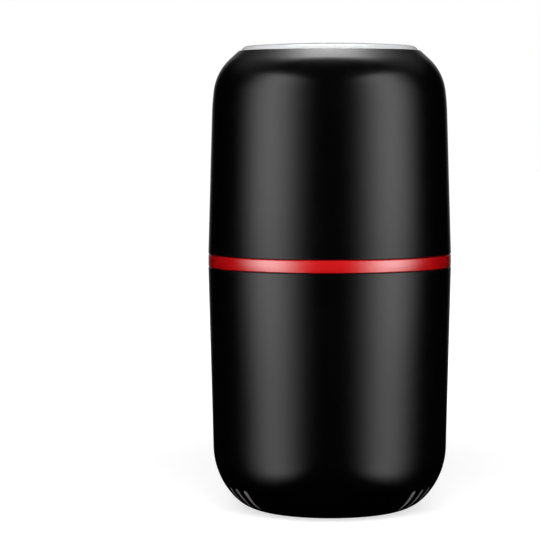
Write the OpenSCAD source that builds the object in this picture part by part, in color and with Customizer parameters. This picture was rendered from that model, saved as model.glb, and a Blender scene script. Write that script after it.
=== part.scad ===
// Electric coffee grinder: a base with a blade motor, a lift-off lid, and a clear press cup
// in the lid that works the switch. Millimetres. The floor is z = 0 and the front faces -Y.

/* [Body] */
// Outer radius at the band
body_r = 48; // [46:0.5:52]
// Height of the base shell
base_h = 96.5; // [92:0.5:104]
// Height of the coloured band
band_h = 4.9; // [3.5:0.1:6.5]
// Height of the lid shell
lid_h = 80; // [76:0.5:88]
// Wall of the base and lid shells
wall = 2.2; // [1.8:0.1:2.6]
// How far the feet stand out below the base
foot_h = 0.6; // [0.4:0.1:1.5]
// Shadow gap between the band and the lid
seam = 0.1; // [0.05:0.05:0.3]
// Chamfer on the edges that meet the band
seam_chamfer = 0.35; // [0.1:0.05:0.6]

/* [Base outline] */
// Inward lean of the base side, in degrees
base_taper = 1.44; // [0.5:0.02:2]
// Radius of the large lower round
base_round_r = 29.2; // [27:0.2:31]
// Angle at which the large round meets the heel round
base_round_to = 43; // [40:1:46]
// Radius of the heel round
heel_r = 17.7; // [16.5:0.1:18.5]

/* [Lid outline] */
// Inward lean of the lid side, in degrees
lid_taper = 1.68; // [0.5:0.02:2.2]
// Radius of the slight swell above the side
swell_r = 100; // [90:1:110]
// Angle at which the swell meets the shoulder
swell_to = 7; // [6:0.5:9]
// Radius of the shoulder
shoulder_r = 20.4; // [19:0.1:22]
// Angle at which the shoulder runs into the slope
shoulder_to = 47.7; // [45:0.1:50]
// Radius of the opening in the top of the lid
window_r = 35.4; // [34:0.1:36]
// Fillet round the top edge of the lid
lid_fillet = 0.8; // [0.6:0.1:1.8]

/* [Press cup] */
// How far the clear cup stands proud of the lid
cap_proud = 2.9; // [2.4:0.1:3.4]
// Rise of the shallow dome on the cup
cap_dome = 1; // [0.5:0.1:1.2]
// Fillet on the edge of the cup
cap_fillet = 3; // [2:0.1:3.2]
// Wall of the cup
cup_wall = 1.8; // [1.4:0.1:2.2]
// Thickness of the window in the top of the cup
window_t = 4; // [3:0.1:4.5]
// Travel of the cup when it is pressed
press_travel = 2; // [1.5:0.1:2.2]
// Thickness of the cup gasket
cup_gasket_t = 1.8; // [1.2:0.1:2.4]
// Clearance between the cup and the lid
cup_gap = 0.35; // [0.3:0.05:0.5]
// Height of the cup lugs above the cup rim
lug_rise = 6.1; // [5.5:0.1:8]
// Thickness of the cup lugs
lug_t = 2; // [1.5:0.1:3]
// Width of the cup lugs
lug_w = 8; // [6:0.5:10]
// Wire radius of the cup springs
cup_wire_r = 0.25; // [0.2:0.05:0.35]
// Mean radius of the cup springs
cup_spring_r = 1.6; // [1.4:0.1:1.8]
// Turns in each cup spring
cup_turns = 4; // [3:1:5]
// Thickness of the retainer ring in the lid
retainer_t = 1.6; // [1.4:0.1:2]

/* [Neck and bowl] */
// Height of the neck above the band
neck_h = 8.4; // [7:0.2:10]
// Thickness of the neck wall
neck_wall = 2.6; // [2:0.1:3]
// Thickness of the ledge that carries the bowl
ledge_t = 2.6; // [2:0.1:4]
// Thickness of the deck under the bowl
deck_t = 3; // [2.6:0.1:4]
// Sheet thickness of the bowl
bowl_t = 0.5; // [0.4:0.1:0.8]
// Width of the bowl rim
bowl_rim_w = 3.1; // [2.6:0.1:4]
// Radius of the round at the foot of the bowl
bowl_round = 9; // [6:0.5:11]
// Thickness of the gasket under the bowl
bowl_gasket_t = 1; // [0.8:0.1:1.6]
// Width of the gasket under the bowl
bowl_gasket_w = 8; // [6:0.5:10]
// Radius of the sleeve that the bowl is clamped on
sleeve_r = 7; // [6.6:0.1:8]
// Height of the nut that clamps the bowl
bowl_nut_h = 3; // [2.4:0.1:4]
// Radius across the corners of the bowl nut
bowl_nut_r = 12; // [10.5:0.5:14]

/* [Push rod and switch] */
// Radius of the push rod
rod_r = 1.3; // [1.1:0.05:1.5]
// Distance from the outside of the neck in to the rod axis
rod_inset = 3.1; // [3:0.1:3.6]
// Radius of the collar on the rod
rod_collar_r = 2.3; // [2:0.1:2.5]
// Distance from the collar on the rod up to its guide
collar_drop = 4.9; // [3:0.1:7]
// Wire radius of the rod spring
rod_wire_r = 0.35; // [0.25:0.05:0.4]
// Mean radius of the rod spring
rod_spring_r = 2.1; // [1.95:0.05:2.2]
// Turns in the rod spring
rod_turns = 7; // [5:1:9]
// Length of the switch body
switch_l = 19.8; // [19:0.2:21]
// Thickness of the switch body
switch_w = 6.4; // [6:0.1:6.6]
// Height of the switch body
switch_h = 10.2; // [9:0.2:12]
// Distance from the lever pivot to the rod
lever_arm = 8.5; // [8:0.1:9.2]
// Distance from the lever pivot to the plunger
plunger_arm = 4.5; // [4:0.1:5]
// Length of the lever
lever_l = 18; // [15:0.5:19]
// Thickness of the lever
lever_t = 0.5; // [0.3:0.1:0.7]
// Width of the lever
lever_w = 5; // [4:0.2:5.4]
// Radius of the plunger
plunger_r = 1; // [0.8:0.1:1.2]

/* [Motor] */
// Outer radius of the stator
stator_r = 31.5; // [31:0.1:32.5]
// Half width of the stator across its flats
stator_flat = 28; // [27:0.2:29]
// Height of the stator stack
stator_h = 24; // [20:0.5:26]
// Radius of the armature
armature_r = 17.5; // [16.5:0.1:18]
// Air gap between the armature and the stator
air_gap = 0.45; // [0.3:0.05:0.6]
// Radius of the motor shaft
shaft_r = 3; // [2.8:0.05:3.2]
// Outer radius of the bearings
bearing_r = 5.5; // [5:0.1:6]
// Height of the bearings
bearing_h = 5.4; // [4.5:0.1:5.8]
// Radius of the commutator
commutator_r = 9.5; // [9:0.1:10]
// Height of the commutator
commutator_h = 10; // [9:0.5:11]
// Number of armature slots and commutator bars
slots = 12; // [8:1:14]
// Radius of the cooling fan
fan_r = 18.4; // [16:0.2:18.6]
// Height of the cooling fan
fan_h = 7.5; // [6:0.1:8.5]
// Number of fan blades
fan_blades = 10; // [6:1:14]
// Distance of the motor screws from the axis
motor_screw_x = 28.7; // [28.5:0.1:29]
// Width of the carbon brushes
brush_w = 5; // [4:0.2:6]
// Height of the carbon brushes
brush_h = 6; // [5:0.2:7]
// Length of the carbon brushes
brush_l = 12; // [9:0.5:13]

/* [Blade] */
// Radius swept by the blade
blade_r = 30; // [26:0.5:33]
// Width of the blade
blade_w = 11; // [9:0.5:13]
// Thickness of the blade
blade_t = 1.4; // [1:0.1:2]
// Bend of the blade tips, in degrees
blade_bend = 14; // [5:1:18]

/* [Underside and vents] */
// Radius of the bottom opening
bottom_r = 25; // [24.6:0.1:25.2]
// Radius of the rubber feet
foot_r = 4.2; // [3.4:0.1:4.6]
// Distance of the feet from the axis
foot_pc = 18.6; // [18:0.1:19]
// Number of vent slots on each side
vents = 10; // [6:1:12]
// Angle between neighbouring vent slots
vent_pitch = 8.5; // [7:0.5:10]
// Width of a vent slot
vent_w = 2.8; // [1.6:0.1:3.2]
// Height of the top of the vent slots
vent_top = 11.3; // [9:0.1:14]
// Distance from the axis to the foot of the vent slots
vent_r = 34; // [31.5:0.5:35]
// Thickness of the screen behind the vents
screen_t = 1; // [0.8:0.1:1.5]

/* [Cord inlet] */
// Radius of the cord hole in the gland
cord_r = 3.3; // [2.8:0.1:3.8]
// Height of the cord inlet
gland_z = 34; // [33:0.5:38]

/* [Hidden] */
$fn = 96;

// Clearances
run_gap = 0.06;
fit_gap = 0.1;
rod_gap = 0.08;
neck_gap = 0.2;
touch_gap = 0.05;
press_gap = 0.02;
key_gap = 0.3;
pad_gap = 0.4;
screen_gap = 0.3;
screen_margin = 2.5;
slot_gap = 0.1;
pad_sink = 0.25;
through = 1;

// Screw sizes, shared by every screw of the same kind
screw_r = 1.5;
screw_head_r = 2.6;
screw_head_h = 1.8;
pan_head_h = 1.7;
pilot_r = 1.25;
small_screw_r = 1.1;
small_head_r = 2.1;
small_head_h = 1;
lid_head_r = 2.2;
lid_head_h = 1.1;
lid_screw_gap = 0.15;

// How far each screw bites past the piece that it holds
cover_bite = 5;
chassis_bite = 8;
mount_bite = 3.4;
retainer_bite = 7;
bite_gap = 0.8;

// Heights of the outer parts
floor_z = foot_h;
base_top = floor_z + base_h;
band_top = base_top + band_h;
lid_z0 = band_top + seam;
lid_top = lid_z0 + lid_h;
cap_top = lid_top + cap_proud;
neck_top = band_top + neck_h;
rim_top = neck_top + bowl_t;

// Heights of the motor, from the floor up
cover_top = floor_z + wall;
fan_z0 = cover_top + 2.2;
fan_top = fan_z0 + fan_h;
lower_boss_z0 = fan_top + 1.5;
bracket_t = 2.5;
bearing_cap = 0.3;
lower_plate_top = lower_boss_z0 + bearing_h + 2 * bearing_cap;
washer_t = 0.8;
commutator_z0 = lower_plate_top + washer_t + 1.7;
commutator_top = commutator_z0 + commutator_h;
winding_h = 4;
winding_gap = 0.3;
stator_z0 = commutator_top + winding_h + 2 * winding_gap + 1.4;
stator_top = stator_z0 + stator_h;
bobbin_t = 1;
coil_h = 4.5;
upper_boss_z0 = stator_top + winding_h + 2 * winding_gap - 0.3;
deck_z = upper_boss_z0 + bearing_h + 2 * bearing_cap + 0.3;
upper_plate_top = deck_z - 1.8;
upper_plate_z0 = upper_plate_top - 2;
deck_top = deck_z + deck_t;
bowl_z = deck_top + bowl_gasket_t;

// Outline of the base: centres and ends of its two rounds
round_z = floor_z + heel_r * (1 - sin(base_round_to))
    + base_round_r * (sin(base_round_to) - sin(base_taper));
round_x = body_r - (base_top - round_z) * tan(base_taper);
base_c1 = [round_x - base_round_r * cos(base_taper), round_z + base_round_r * sin(base_taper)];
base_c2 = base_c1 + (base_round_r - heel_r) * [cos(base_round_to), -sin(base_round_to)];

// Outline of the lid, worked down from the opening to the side
lid_drop = lid_fillet - lid_fillet * sin(shoulder_to)
    + shoulder_r * (sin(shoulder_to) - sin(swell_to)) + swell_r * (sin(swell_to) - sin(lid_taper));
lid_reach = window_r + lid_fillet * cos(shoulder_to)
    - shoulder_r * (cos(shoulder_to) - cos(swell_to)) - swell_r * (cos(swell_to) - cos(lid_taper));
slope_l = (body_r - lid_reach - (lid_h - lid_drop) * tan(lid_taper))
    / (sin(shoulder_to) - cos(shoulder_to) * tan(lid_taper));
fillet_c = [window_r, lid_top - lid_fillet];
slope_end = fillet_c + lid_fillet * [cos(shoulder_to), sin(shoulder_to)]
    + slope_l * [sin(shoulder_to), -cos(shoulder_to)];
shoulder_c = slope_end - shoulder_r * [cos(shoulder_to), sin(shoulder_to)];
swell_c = shoulder_c - (swell_r - shoulder_r) * [cos(swell_to), sin(swell_to)];

// Radius of the outer face of the base and of the lid at a height on their straight sides
function base_side(z) = body_r - (base_top - z) * tan(base_taper);
function lid_side(z) = body_r - (z - lid_z0) * tan(lid_taper);
wall_x = wall / cos(max(base_taper, lid_taper));

// Radii from the neck inwards
neck_r = min(base_side(deck_z), lid_side(neck_top)) - wall_x - neck_gap;
band_in_r = neck_r + neck_gap;
neck_in_r = neck_r - neck_wall;
rod_y = neck_r - rod_inset;
rod_hole_r = rod_r + rod_gap;
rim_r = rod_y - rod_hole_r - 1;
bowl_r = rim_r - bowl_rim_w;
bowl_out_r = bowl_r + bowl_t;
ledge_r = bowl_out_r + 0.4;
seal_r = sleeve_r - 1.5;
sleeve_top = bowl_z + bowl_t + bowl_nut_h + 0.4;
blade_hub_z0 = sleeve_top + 0.5;
blade_hub_h = 4.4;
blade_z = blade_hub_z0 + blade_hub_h;
blade_nut_z0 = blade_z + blade_t;
blade_nut_h = 4.6;
shaft_z0 = fan_z0 - 0.4;
shaft_top = blade_nut_z0 + blade_nut_h - 1.6;
channel_r = rod_spring_r + rod_wire_r + 0.3;
guide_z0 = band_top - 1.5;
guide_r = 2.7;
key_w = 4;
key_h = 1.3;

// Cup, lid retainer and springs
cup_r = bowl_r + 0.5;
cup_out_r = cup_r + cup_wall;
cap_r = window_r - cup_gap;
cup_rim_z = rim_top + press_travel + 0.2 + cup_gasket_t;
lug_z = cup_rim_z + lug_rise;
retainer_z = neck_top + 0.6;
retainer_top = retainer_z + retainer_t;
gasket_in_r = cup_r - 0.1;
gasket_out_r = cup_out_r + 0.6;
retainer_in_r = gasket_out_r + 0.5;
retainer_r = lid_side(lug_z) - wall_x - 0.2;
lug_r = retainer_r - 0.3;
spring_pc = (retainer_in_r + retainer_r) / 2;
retainer_pc = retainer_r - 2.3;
retainer_boss_h = 11;
cup_gasket_lip = 3;
pad_r = 1.7;
rod_top = cup_rim_z - 1.75;
SPRING_ANGLES = [30, 150, 270];
RETAINER_SCREW_ANGLES = [0, 120, 240];

// Switch: its lever pivots about the Y axis through pivot_x, pivot_z
pivot_x = -lever_arm;
lever_rise = atan(press_travel / lever_arm) + 0.3;
pivot_z = deck_z - 7.1;
switch_top = pivot_z - 1.5;
switch_z0 = switch_top - switch_h;
switch_y = rod_y - 2.2;
switch_x0 = pivot_x - 1.5;
rod_ball_z = pivot_z + lever_arm * tan(lever_rise)
    + (lever_t + rod_r + fit_gap) / cos(lever_rise);
plunger_x = pivot_x + plunger_arm;
plunger_ball_z = pivot_z + plunger_arm * tan(lever_rise)
    - (plunger_r + touch_gap) / cos(lever_rise);
collar_t = 1.5;
collar_z = guide_z0 - collar_drop - collar_t;
hanger_t = 2;
pin_r = 0.4;
pin_end = 0.7;
lever_heel = 0.6;
ear_t = 0.5;
ear_w = 1.8;
ear_gap = 0.2;
terminal_w = 3.2;
terminal_t = 0.5;
terminal_l = 5;
hanger_y = switch_y - switch_w / 2 - hanger_t;
switch_screw_gap = 9.5;
switch_hole_z = switch_z0 + 2.6;

// Places of screws and bosses
rib_t = 3;
boss_wall = 2.3;
retainer_boss_wall = 1.3;
chassis_screw_r = neck_in_r - screw_head_r - 1.8;
CHASSIS_SCREW_ANGLES = [30, 150, 210, 330];
chassis_boss_h = deck_z - stator_top - 0.6;
mount_screw_x = 17;
mount_screw_y = 6.5;
MOUNT_SCREWS = [for (x = [-1, 1], y = [-1, 1]) [x * mount_screw_x, y * mount_screw_y]];
ledge_in_r = bottom_r - 3.5;
cover_screw_r = bottom_r - 3.6;
cover_boss_r = 2.8;
cover_boss_h = 7;
COVER_SCREW_ANGLES = [0, 90, 180, 270];
FOOT_ANGLES = [45, 135, 225, 315];
foot_seat = 0.9;
foot_stem_r = 2;
foot_barb = 0.5;
foot_barb_h = 0.75;

// Slots of the grille in the bottom cover
grille_slots = 12;
grille_r = 5.2;
grille_l = 7.4;
grille_w = 1.8;

// Vent slots: the radius at their top, half their angle and the radius of their arch
vent_out_r = base_c1[0] + sqrt(pow(base_round_r, 2) - pow(base_c1[1] - vent_top, 2));
vent_half = asin(vent_w / 2 / vent_out_r);
vent_arch_r = 0.56 * vent_w;

// Cord gland, sunk into the back of the base
gland_wall = 1.3;
gland_flange_w = 1.8;
gland_bore_l = 8;
gland_body_r = cord_r + gland_wall;
gland_flange_r = gland_body_r + gland_flange_w;
gland_flange_t = 1.6;
gland_sink = 0.76;
gland_y = base_side(gland_z) - gland_sink;
gland_neck_l = 2.6;
gland_slack = 0.4;
gland_lip = 0.9;
gland_lip_t = 1;

// Motor details
slot_r = 25.5;
pole_half = 50;
pole_tip_t = 0.8;
coil_slack = 0.4;
coil_in_r = armature_r + air_gap + pole_tip_t;
coil_out_r = slot_r - coil_slack;
coil_half = 62;
post_r = 3;
bracket_end = 3.75;
bracket_l = 2 * (motor_screw_x + bracket_end);
bracket_w = 20;
brush_z = (commutator_z0 + commutator_top) / 2 - 0.4;
brush_y = commutator_r + 0.2;
brush_spring_l = 8.3;
brush_wire_r = 0.25;
brush_spring_r = 1.9;
brush_turns = 4;
holder_wall = 1.1;
holder_end = 1;
holder_y0 = brush_y + 1.8;
holder_y1 = brush_y + brush_l + brush_spring_l + holder_end;
holder_z0 = brush_z - brush_h / 2 - fit_gap - holder_wall;
holder_post_l = 10;
holder_post_w = 6;
holder_bar_w = 12;
holder_bar_gap = 2;
bearing_wall = 2.3;
fan_hub_r = shaft_r + 2.4;
fan_plate_t = 1.2;
fan_blade_t = 1;
fan_lean = 12;
riser_w = 1.1;
riser_h = 1.2;
bar_gap = 0.5;
bar_gap_depth = 0.7;
armature_slot_w = 2.4;
armature_mouth_w = 1;
winding_round = 1.2;
lead_r = 0.8;
lead_gap = 0.45;
coil_lead_x = 4;
coil_lead_in = 2.5;
coil_lead_drop = 15.1;
blade_nut_r = 5.8;
blade_nut_dome = 1.8;

// Steps round a curl and sides of its wire
curl_steps = 8;
wire_sides = 6;

// Ring about the Z axis
module ring(r_in, r_out, z0, z1) {
    rotate_extrude()
        translate([r_in, z0])
            square([r_out - r_in, z1 - z0]);
}

// Disc or rod about the Z axis
module rod(r, z0, z1) {
    translate([0, 0, z0])
        cylinder(r = r, h = z1 - z0);
}

// Countersunk or pan-headed screw that points up, with its head's outer face at z = 0
module flat_screw(r, head_r, head_h, length) {
    union() {
        cylinder(r1 = head_r, r2 = r, h = head_h);
        cylinder(r = r, h = length);
    }
}

module pan_screw(r, head_r, head_h, length) {
    union() {
        cylinder(r = head_r, h = head_h);
        cylinder(r = r, h = length);
    }
}

// Copies of the children at a radius and a list of angles
module around(radius, angles) {
    for (a = angles)
        rotate([0, 0, a])
            translate([radius, 0, 0])
                children();
}

// Point on a circle
function on_arc(c, r, a) = c + r * [cos(a), sin(a)];

// Area under the stretch of an arc from angle a to angle b, for a region that already
// holds the chord
module arc_fill(c, r, a, b) {
    intersection() {
        translate(c)
            circle(r = r, $fn = 240);
        polygon([on_arc(c, 0.9 * r, a), on_arc(c, 0.9 * r, b), on_arc(c, 1.2 * r, b),
                 on_arc(c, 1.2 * r, (a + b) / 2), on_arc(c, 1.2 * r, a)]);
    }
}

// Half section of the base body, drawn in by inset, up to the height top
module base_region(inset, top) {
    p1 = on_arc(base_c1, base_round_r - inset, -base_taper);
    p2 = on_arc(base_c1, base_round_r - inset, -base_round_to);
    polygon([[0, floor_z + inset], [base_c2[0], floor_z + inset], p2, p1,
             [p1[0] + (top - p1[1]) * tan(base_taper), top], [0, top]]);
    arc_fill(base_c1, base_round_r - inset, -base_round_to, -base_taper);
    arc_fill(base_c2, heel_r - inset, -90, -base_round_to);
}

// Half section of the lid, drawn in by inset, with the slope carried on to the radius open_r
// and straight up from there to the height top
module lid_region(inset, open_r, bottom, top) {
    slope_foot = on_arc(shoulder_c, shoulder_r - inset, shoulder_to);
    slope_z = slope_foot[1] + (slope_foot[0] - open_r) / tan(shoulder_to);
    lid_outline(inset, bottom, [[open_r, slope_z], [open_r, top], [0, top]]);
}

// The same half section with any points above the slope
module lid_outline(inset, bottom, upper) {
    p1 = on_arc(swell_c, swell_r - inset, lid_taper);
    p2 = on_arc(swell_c, swell_r - inset, swell_to);
    p3 = on_arc(shoulder_c, shoulder_r - inset, shoulder_to);
    foot = [p1[0] + (p1[1] - bottom) * tan(lid_taper), bottom];
    polygon(concat([[0, bottom], foot, p1, p2, p3], upper));
    arc_fill(swell_c, swell_r - inset, lid_taper, swell_to);
    arc_fill(shoulder_c, shoulder_r - inset, swell_to, shoulder_to);
}

// Tube along a list of points, closed at both ends; side is never parallel to the path
module wire(points, r, sides, side) {
    n = len(points);
    tangents = [for (i = [0 : n - 1]) points[min(i + 1, n - 1)] - points[max(i - 1, 0)]];
    rings = [for (i = [0 : n - 1])
        let (u = cross(tangents[i], side), v = cross(tangents[i], u))
            for (k = [0 : sides - 1])
                points[i] + r * (cos(360 * k / sides) * u / norm(u)
                    + sin(360 * k / sides) * v / norm(v))];
    walls = [for (i = [0 : n - 2], k = [0 : sides - 1])
        let (a = i * sides + k, b = i * sides + (k + 1) % sides)
            each [[a, b, a + sides], [b, b + sides, a + sides]]];
    ends = [for (k = [1 : sides - 2])
        each [[0, k + 1, k], [(n - 1) * sides, (n - 1) * sides + k, (n - 1) * sides + k + 1]]];
    polyhedron(points = rings, faces = concat(walls, ends), convexity = 10);
}

// Points of a coil about the Z axis
function coil(r, z0, z1, turns) = [for (k = [0 : turns * curl_steps])
    let (a = 360 * k / curl_steps)
        [r * cos(a), r * sin(a), z0 + (z1 - z0) * k / (turns * curl_steps)]];

// Least distance between turns of a coil, less the thickness of its wire
function coil_gap(points, wire_r) = min([for (i = [0 : len(points) - 1])
    for (j = [i + 5 : 1 : len(points) - 1]) norm(points[j] - points[i])]) - 2 * wire_r;

module base_shell() {
    color([0.05, 0.05, 0.055])
        difference() {
            union() {
                rotate_extrude()
                    difference() {
                        union() {
                            difference() {
                                base_region(0, base_top);
                                base_region(wall, base_top + through);
                            }
                            translate([ledge_in_r, cover_top])
                                square([bottom_r + 2 - ledge_in_r, wall]);
                        }
                        translate([-through, 0])
                            square([bottom_r + through, cover_top]);
                        translate([-through, cover_top - through])
                            square([ledge_in_r + through, 2 * wall]);
                        polygon([[body_r - seam_chamfer, base_top],
                                 [body_r + through, base_top - seam_chamfer - through],
                                 [body_r + through, base_top]]);
                    }
                around(cover_screw_r, COVER_SCREW_ANGLES)
                    rod(cover_boss_r, cover_top, cover_top + cover_boss_h);
                around(chassis_screw_r, CHASSIS_SCREW_ANGLES)
                    chassis_boss();
            }
            around(cover_screw_r, COVER_SCREW_ANGLES)
                rod(pilot_r, cover_top - through, cover_top + cover_bite + bite_gap);
            around(chassis_screw_r, CHASSIS_SCREW_ANGLES)
                rod(pilot_r, deck_z - chassis_bite - bite_gap, deck_z + through);
            at_vents()
                vent_cut();
            translate([0, body_r, gland_z])
                rotate([90, 0, 0])
                    cylinder(r = gland_body_r + fit_gap, h = body_r - base_side(gland_z) + gland_bore_l);
            translate([0, body_r + through, gland_z])
                rotate([90, 0, 0])
                    cylinder(r = gland_flange_r + neck_gap, h = body_r + through - gland_y);
        }
}

// Column inside the base that a chassis screw goes into, tied to the wall by a rib
module chassis_boss() {
    rib_to = base_side(deck_z - chassis_boss_h) - wall / 2 - chassis_screw_r;
    rod(pilot_r + boss_wall, deck_z - chassis_boss_h, deck_z);
    translate([0, -rib_t / 2, deck_z - chassis_boss_h])
        cube([rib_to, rib_t, chassis_boss_h]);
}

// Shape of one vent slot, lying along +X, drawn in by gap: it narrows towards the axis and
// has an arched top
module vent_cut(gap = 0) {
    arch_r = vent_arch_r - gap;
    intersection() {
        sector(0, vent_half - asin(gap / vent_out_r), vent_r + gap, body_r, -through,
            vent_top + through);
        translate([vent_r - through, 0, 0])
            rotate([90, 0, 90])
                linear_extrude(height = body_r - vent_r + 2 * through)
                    union() {
                        translate([-arch_r, -2 * through])
                            square([2 * arch_r, vent_top - vent_arch_r + 2 * through]);
                        translate([0, vent_top - vent_arch_r])
                            circle(r = arch_r, $fn = 32);
                    }
    }
}

// Calls its child once at each vent slot
module at_vents() {
    for (side = [0, 180], k = [0 : vents - 1])
        rotate([0, 0, side + (k - (vents - 1) / 2) * vent_pitch])
            children();
}

module bottom_cover() {
    cover_r = bottom_r - 0.2;
    color([0.07, 0.07, 0.075])
        difference() {
            rod(cover_r, floor_z, cover_top);
            for (k = [0 : grille_slots - 1])
                rotate([0, 0, 360 * (k + 0.5) / grille_slots])
                    translate([grille_r, -grille_w / 2, floor_z - through])
                        cube([grille_l, grille_w, wall + 2 * through]);
            around(foot_pc, FOOT_ANGLES) {
                rod(foot_r + fit_gap, floor_z - through, floor_z + foot_seat);
                rod(foot_stem_r + fit_gap, floor_z, cover_top + through);
            }
            around(cover_screw_r, COVER_SCREW_ANGLES)
                translate([0, 0, floor_z])
                    flat_screw(screw_r + fit_gap, screw_head_r + fit_gap, screw_head_h,
                        wall + through);
        }
}

module bottom_cover_screws() {
    color("silver")
        around(cover_screw_r, COVER_SCREW_ANGLES)
            translate([0, 0, floor_z])
                flat_screw(pilot_r - press_gap, screw_head_r, screw_head_h, wall + cover_bite);
}

module rubber_feet() {
    color([0.12, 0.12, 0.12])
        around(foot_pc, FOOT_ANGLES)
            union() {
                rod(foot_r, 0, floor_z + foot_seat);
                rod(foot_stem_r, floor_z, cover_top + touch_gap + foot_barb_h);
                rod(foot_stem_r + foot_barb, cover_top + touch_gap,
                    cover_top + touch_gap + foot_barb_h);
            }
}

// Screen inside the shell, with a raised pad that fills each vent slot almost to the surface
module vent_screen() {
    inset = wall + screen_gap;
    color([0.45, 0.45, 0.46])
        union() {
            rotate_extrude()
                intersection() {
                    difference() {
                        base_region(inset, base_top);
                        base_region(inset + screen_t, base_top + through);
                    }
                    translate([vent_r - screen_margin, 0])
                        square([body_r, vent_top + 2]);
                }
            intersection() {
                at_vents()
                    vent_cut(slot_gap);
                rotate_extrude()
                    difference() {
                        base_region(pad_sink, base_top);
                        base_region(inset + screen_t / 2, base_top + through);
                    }
            }
        }
}

module cord_gland() {
    inner_y = gland_y - gland_neck_l;
    back_y = inner_y - gland_slack - gland_lip_t;
    color([0.1, 0.1, 0.1])
        translate([0, 0, gland_z])
            rotate([-90, 0, 0])
                difference() {
                    union() {
                        rod(gland_flange_r, gland_y, gland_y + gland_flange_t);
                        rod(gland_body_r, back_y, gland_y + gland_flange_t / 2);
                        rod(gland_body_r + gland_lip, back_y, back_y + gland_lip_t);
                    }
                    rod(cord_r, back_y - through, gland_y + gland_flange_t + through);
                }
}

module chassis() {
    color([0.09, 0.09, 0.1])
        difference() {
            union() {
                rotate_extrude()
                    union() {
                        translate([shaft_r + 1, deck_z])
                            square([neck_r - shaft_r - 1, deck_t]);
                        translate([shaft_r + 1, deck_z])
                            square([sleeve_r - shaft_r - 1, sleeve_top - deck_z]);
                        translate([neck_in_r, deck_z])
                            square([neck_wall, neck_top - deck_z]);
                        translate([ledge_r, neck_top - ledge_t])
                            square([neck_r - ledge_r, ledge_t]);
                    }
                translate([0, rod_y, 0])
                    rod(guide_r, guide_z0, neck_top);
                translate([-key_w / 2, -neck_r - key_h, band_top + 1])
                    cube([key_w, key_h + neck_wall / 2, neck_h - 2]);
                translate([-switch_l / 2, hanger_y, switch_z0 - 1])
                    cube([switch_l, hanger_t, deck_z + deck_t / 2 - switch_z0 + 1]);
            }
            rod(seal_r, bowl_z + bowl_t / 2, sleeve_top + through);
            translate([0, rod_y, 0])
                rod(rod_hole_r, deck_z - through, neck_top + through);
            translate([0, rod_y, deck_top])
                linear_extrude(height = guide_z0 - deck_top)
                    union() {
                        circle(r = channel_r);
                        translate([-channel_r, 0])
                            square([2 * channel_r, neck_r]);
                    }
            around(chassis_screw_r, CHASSIS_SCREW_ANGLES)
                rod(screw_r + fit_gap, deck_z - through, deck_top + through);
            for (p = MOUNT_SCREWS)
                translate([p[0], p[1], deck_top])
                    mirror([0, 0, 1])
                        flat_screw(screw_r + fit_gap, screw_head_r + fit_gap, screw_head_h,
                            deck_t + through);
            for (x = [-1, 1])
                translate([x * switch_screw_gap / 2, hanger_y - through, switch_hole_z])
                    rotate([-90, 0, 0])
                        cylinder(r = small_screw_r, h = hanger_t + 2 * through);
        }
}

module chassis_screws() {
    color("silver")
        around(chassis_screw_r, CHASSIS_SCREW_ANGLES)
            translate([0, 0, deck_top + pan_head_h])
                mirror([0, 0, 1])
                    pan_screw(pilot_r - press_gap, screw_head_r, pan_head_h,
                        deck_t + chassis_bite);
}

module band_ring() {
    color([0.8, 0.02, 0.03])
        rotate_extrude()
            polygon([[band_in_r, base_top], [body_r - seam_chamfer, base_top],
                     [body_r, base_top + seam_chamfer], [body_r, band_top - seam_chamfer],
                     [body_r - seam_chamfer, band_top], [band_in_r, band_top]]);
}

// Half section of the bowl, drawn in by inset
module bowl_region(inset, top) {
    c = [bowl_out_r - bowl_round - bowl_t, bowl_z + bowl_round + bowl_t];
    r = bowl_round + bowl_t - inset;
    polygon([[0, bowl_z + inset], [c[0], bowl_z + inset], [c[0] + r, c[1]],
             [c[0] + r, top], [0, top]]);
    arc_fill(c, r, -90, 0);
}

module grinding_bowl() {
    color([0.75, 0.75, 0.77])
        rotate_extrude()
            union() {
                difference() {
                    bowl_region(0, neck_top + bowl_t);
                    bowl_region(bowl_t, neck_top + bowl_t + through);
                    translate([-through, 0])
                        square([sleeve_r + fit_gap + through, rim_top]);
                }
                translate([bowl_r, neck_top])
                    square([bowl_rim_w, bowl_t]);
            }
}

module bowl_gasket() {
    color([0.15, 0.15, 0.15])
        ring(sleeve_r + fit_gap, sleeve_r + bowl_gasket_w, deck_top, bowl_z);
}

module bowl_nut() {
    z0 = bowl_z + bowl_t;
    color("silver")
        difference() {
            translate([0, 0, z0])
                cylinder(r = bowl_nut_r, h = bowl_nut_h, $fn = 6);
            rod(sleeve_r + touch_gap, z0 - through, z0 + bowl_nut_h + through);
        }
}

module shaft_seal() {
    z0 = bowl_z + bowl_t / 2;
    color([0.2, 0.08, 0.06])
        ring(shaft_r + run_gap, seal_r - press_gap, z0, sleeve_top);
}

// Bar with a bearing boss in the middle and a post at each end
module bracket(plate_z0, plate_z1, boss_z0, boss_z1, post_z0, post_z1) {
    union() {
        translate([-bracket_l / 2, -bracket_w / 2, plate_z0])
            cube([bracket_l, bracket_w, plate_z1 - plate_z0]);
        rod(bearing_r + bearing_wall, boss_z0, boss_z1);
        for (x = [-1, 1])
            translate([x * motor_screw_x, 0, 0])
                rod(post_r, post_z0, post_z1);
    }
}

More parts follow.
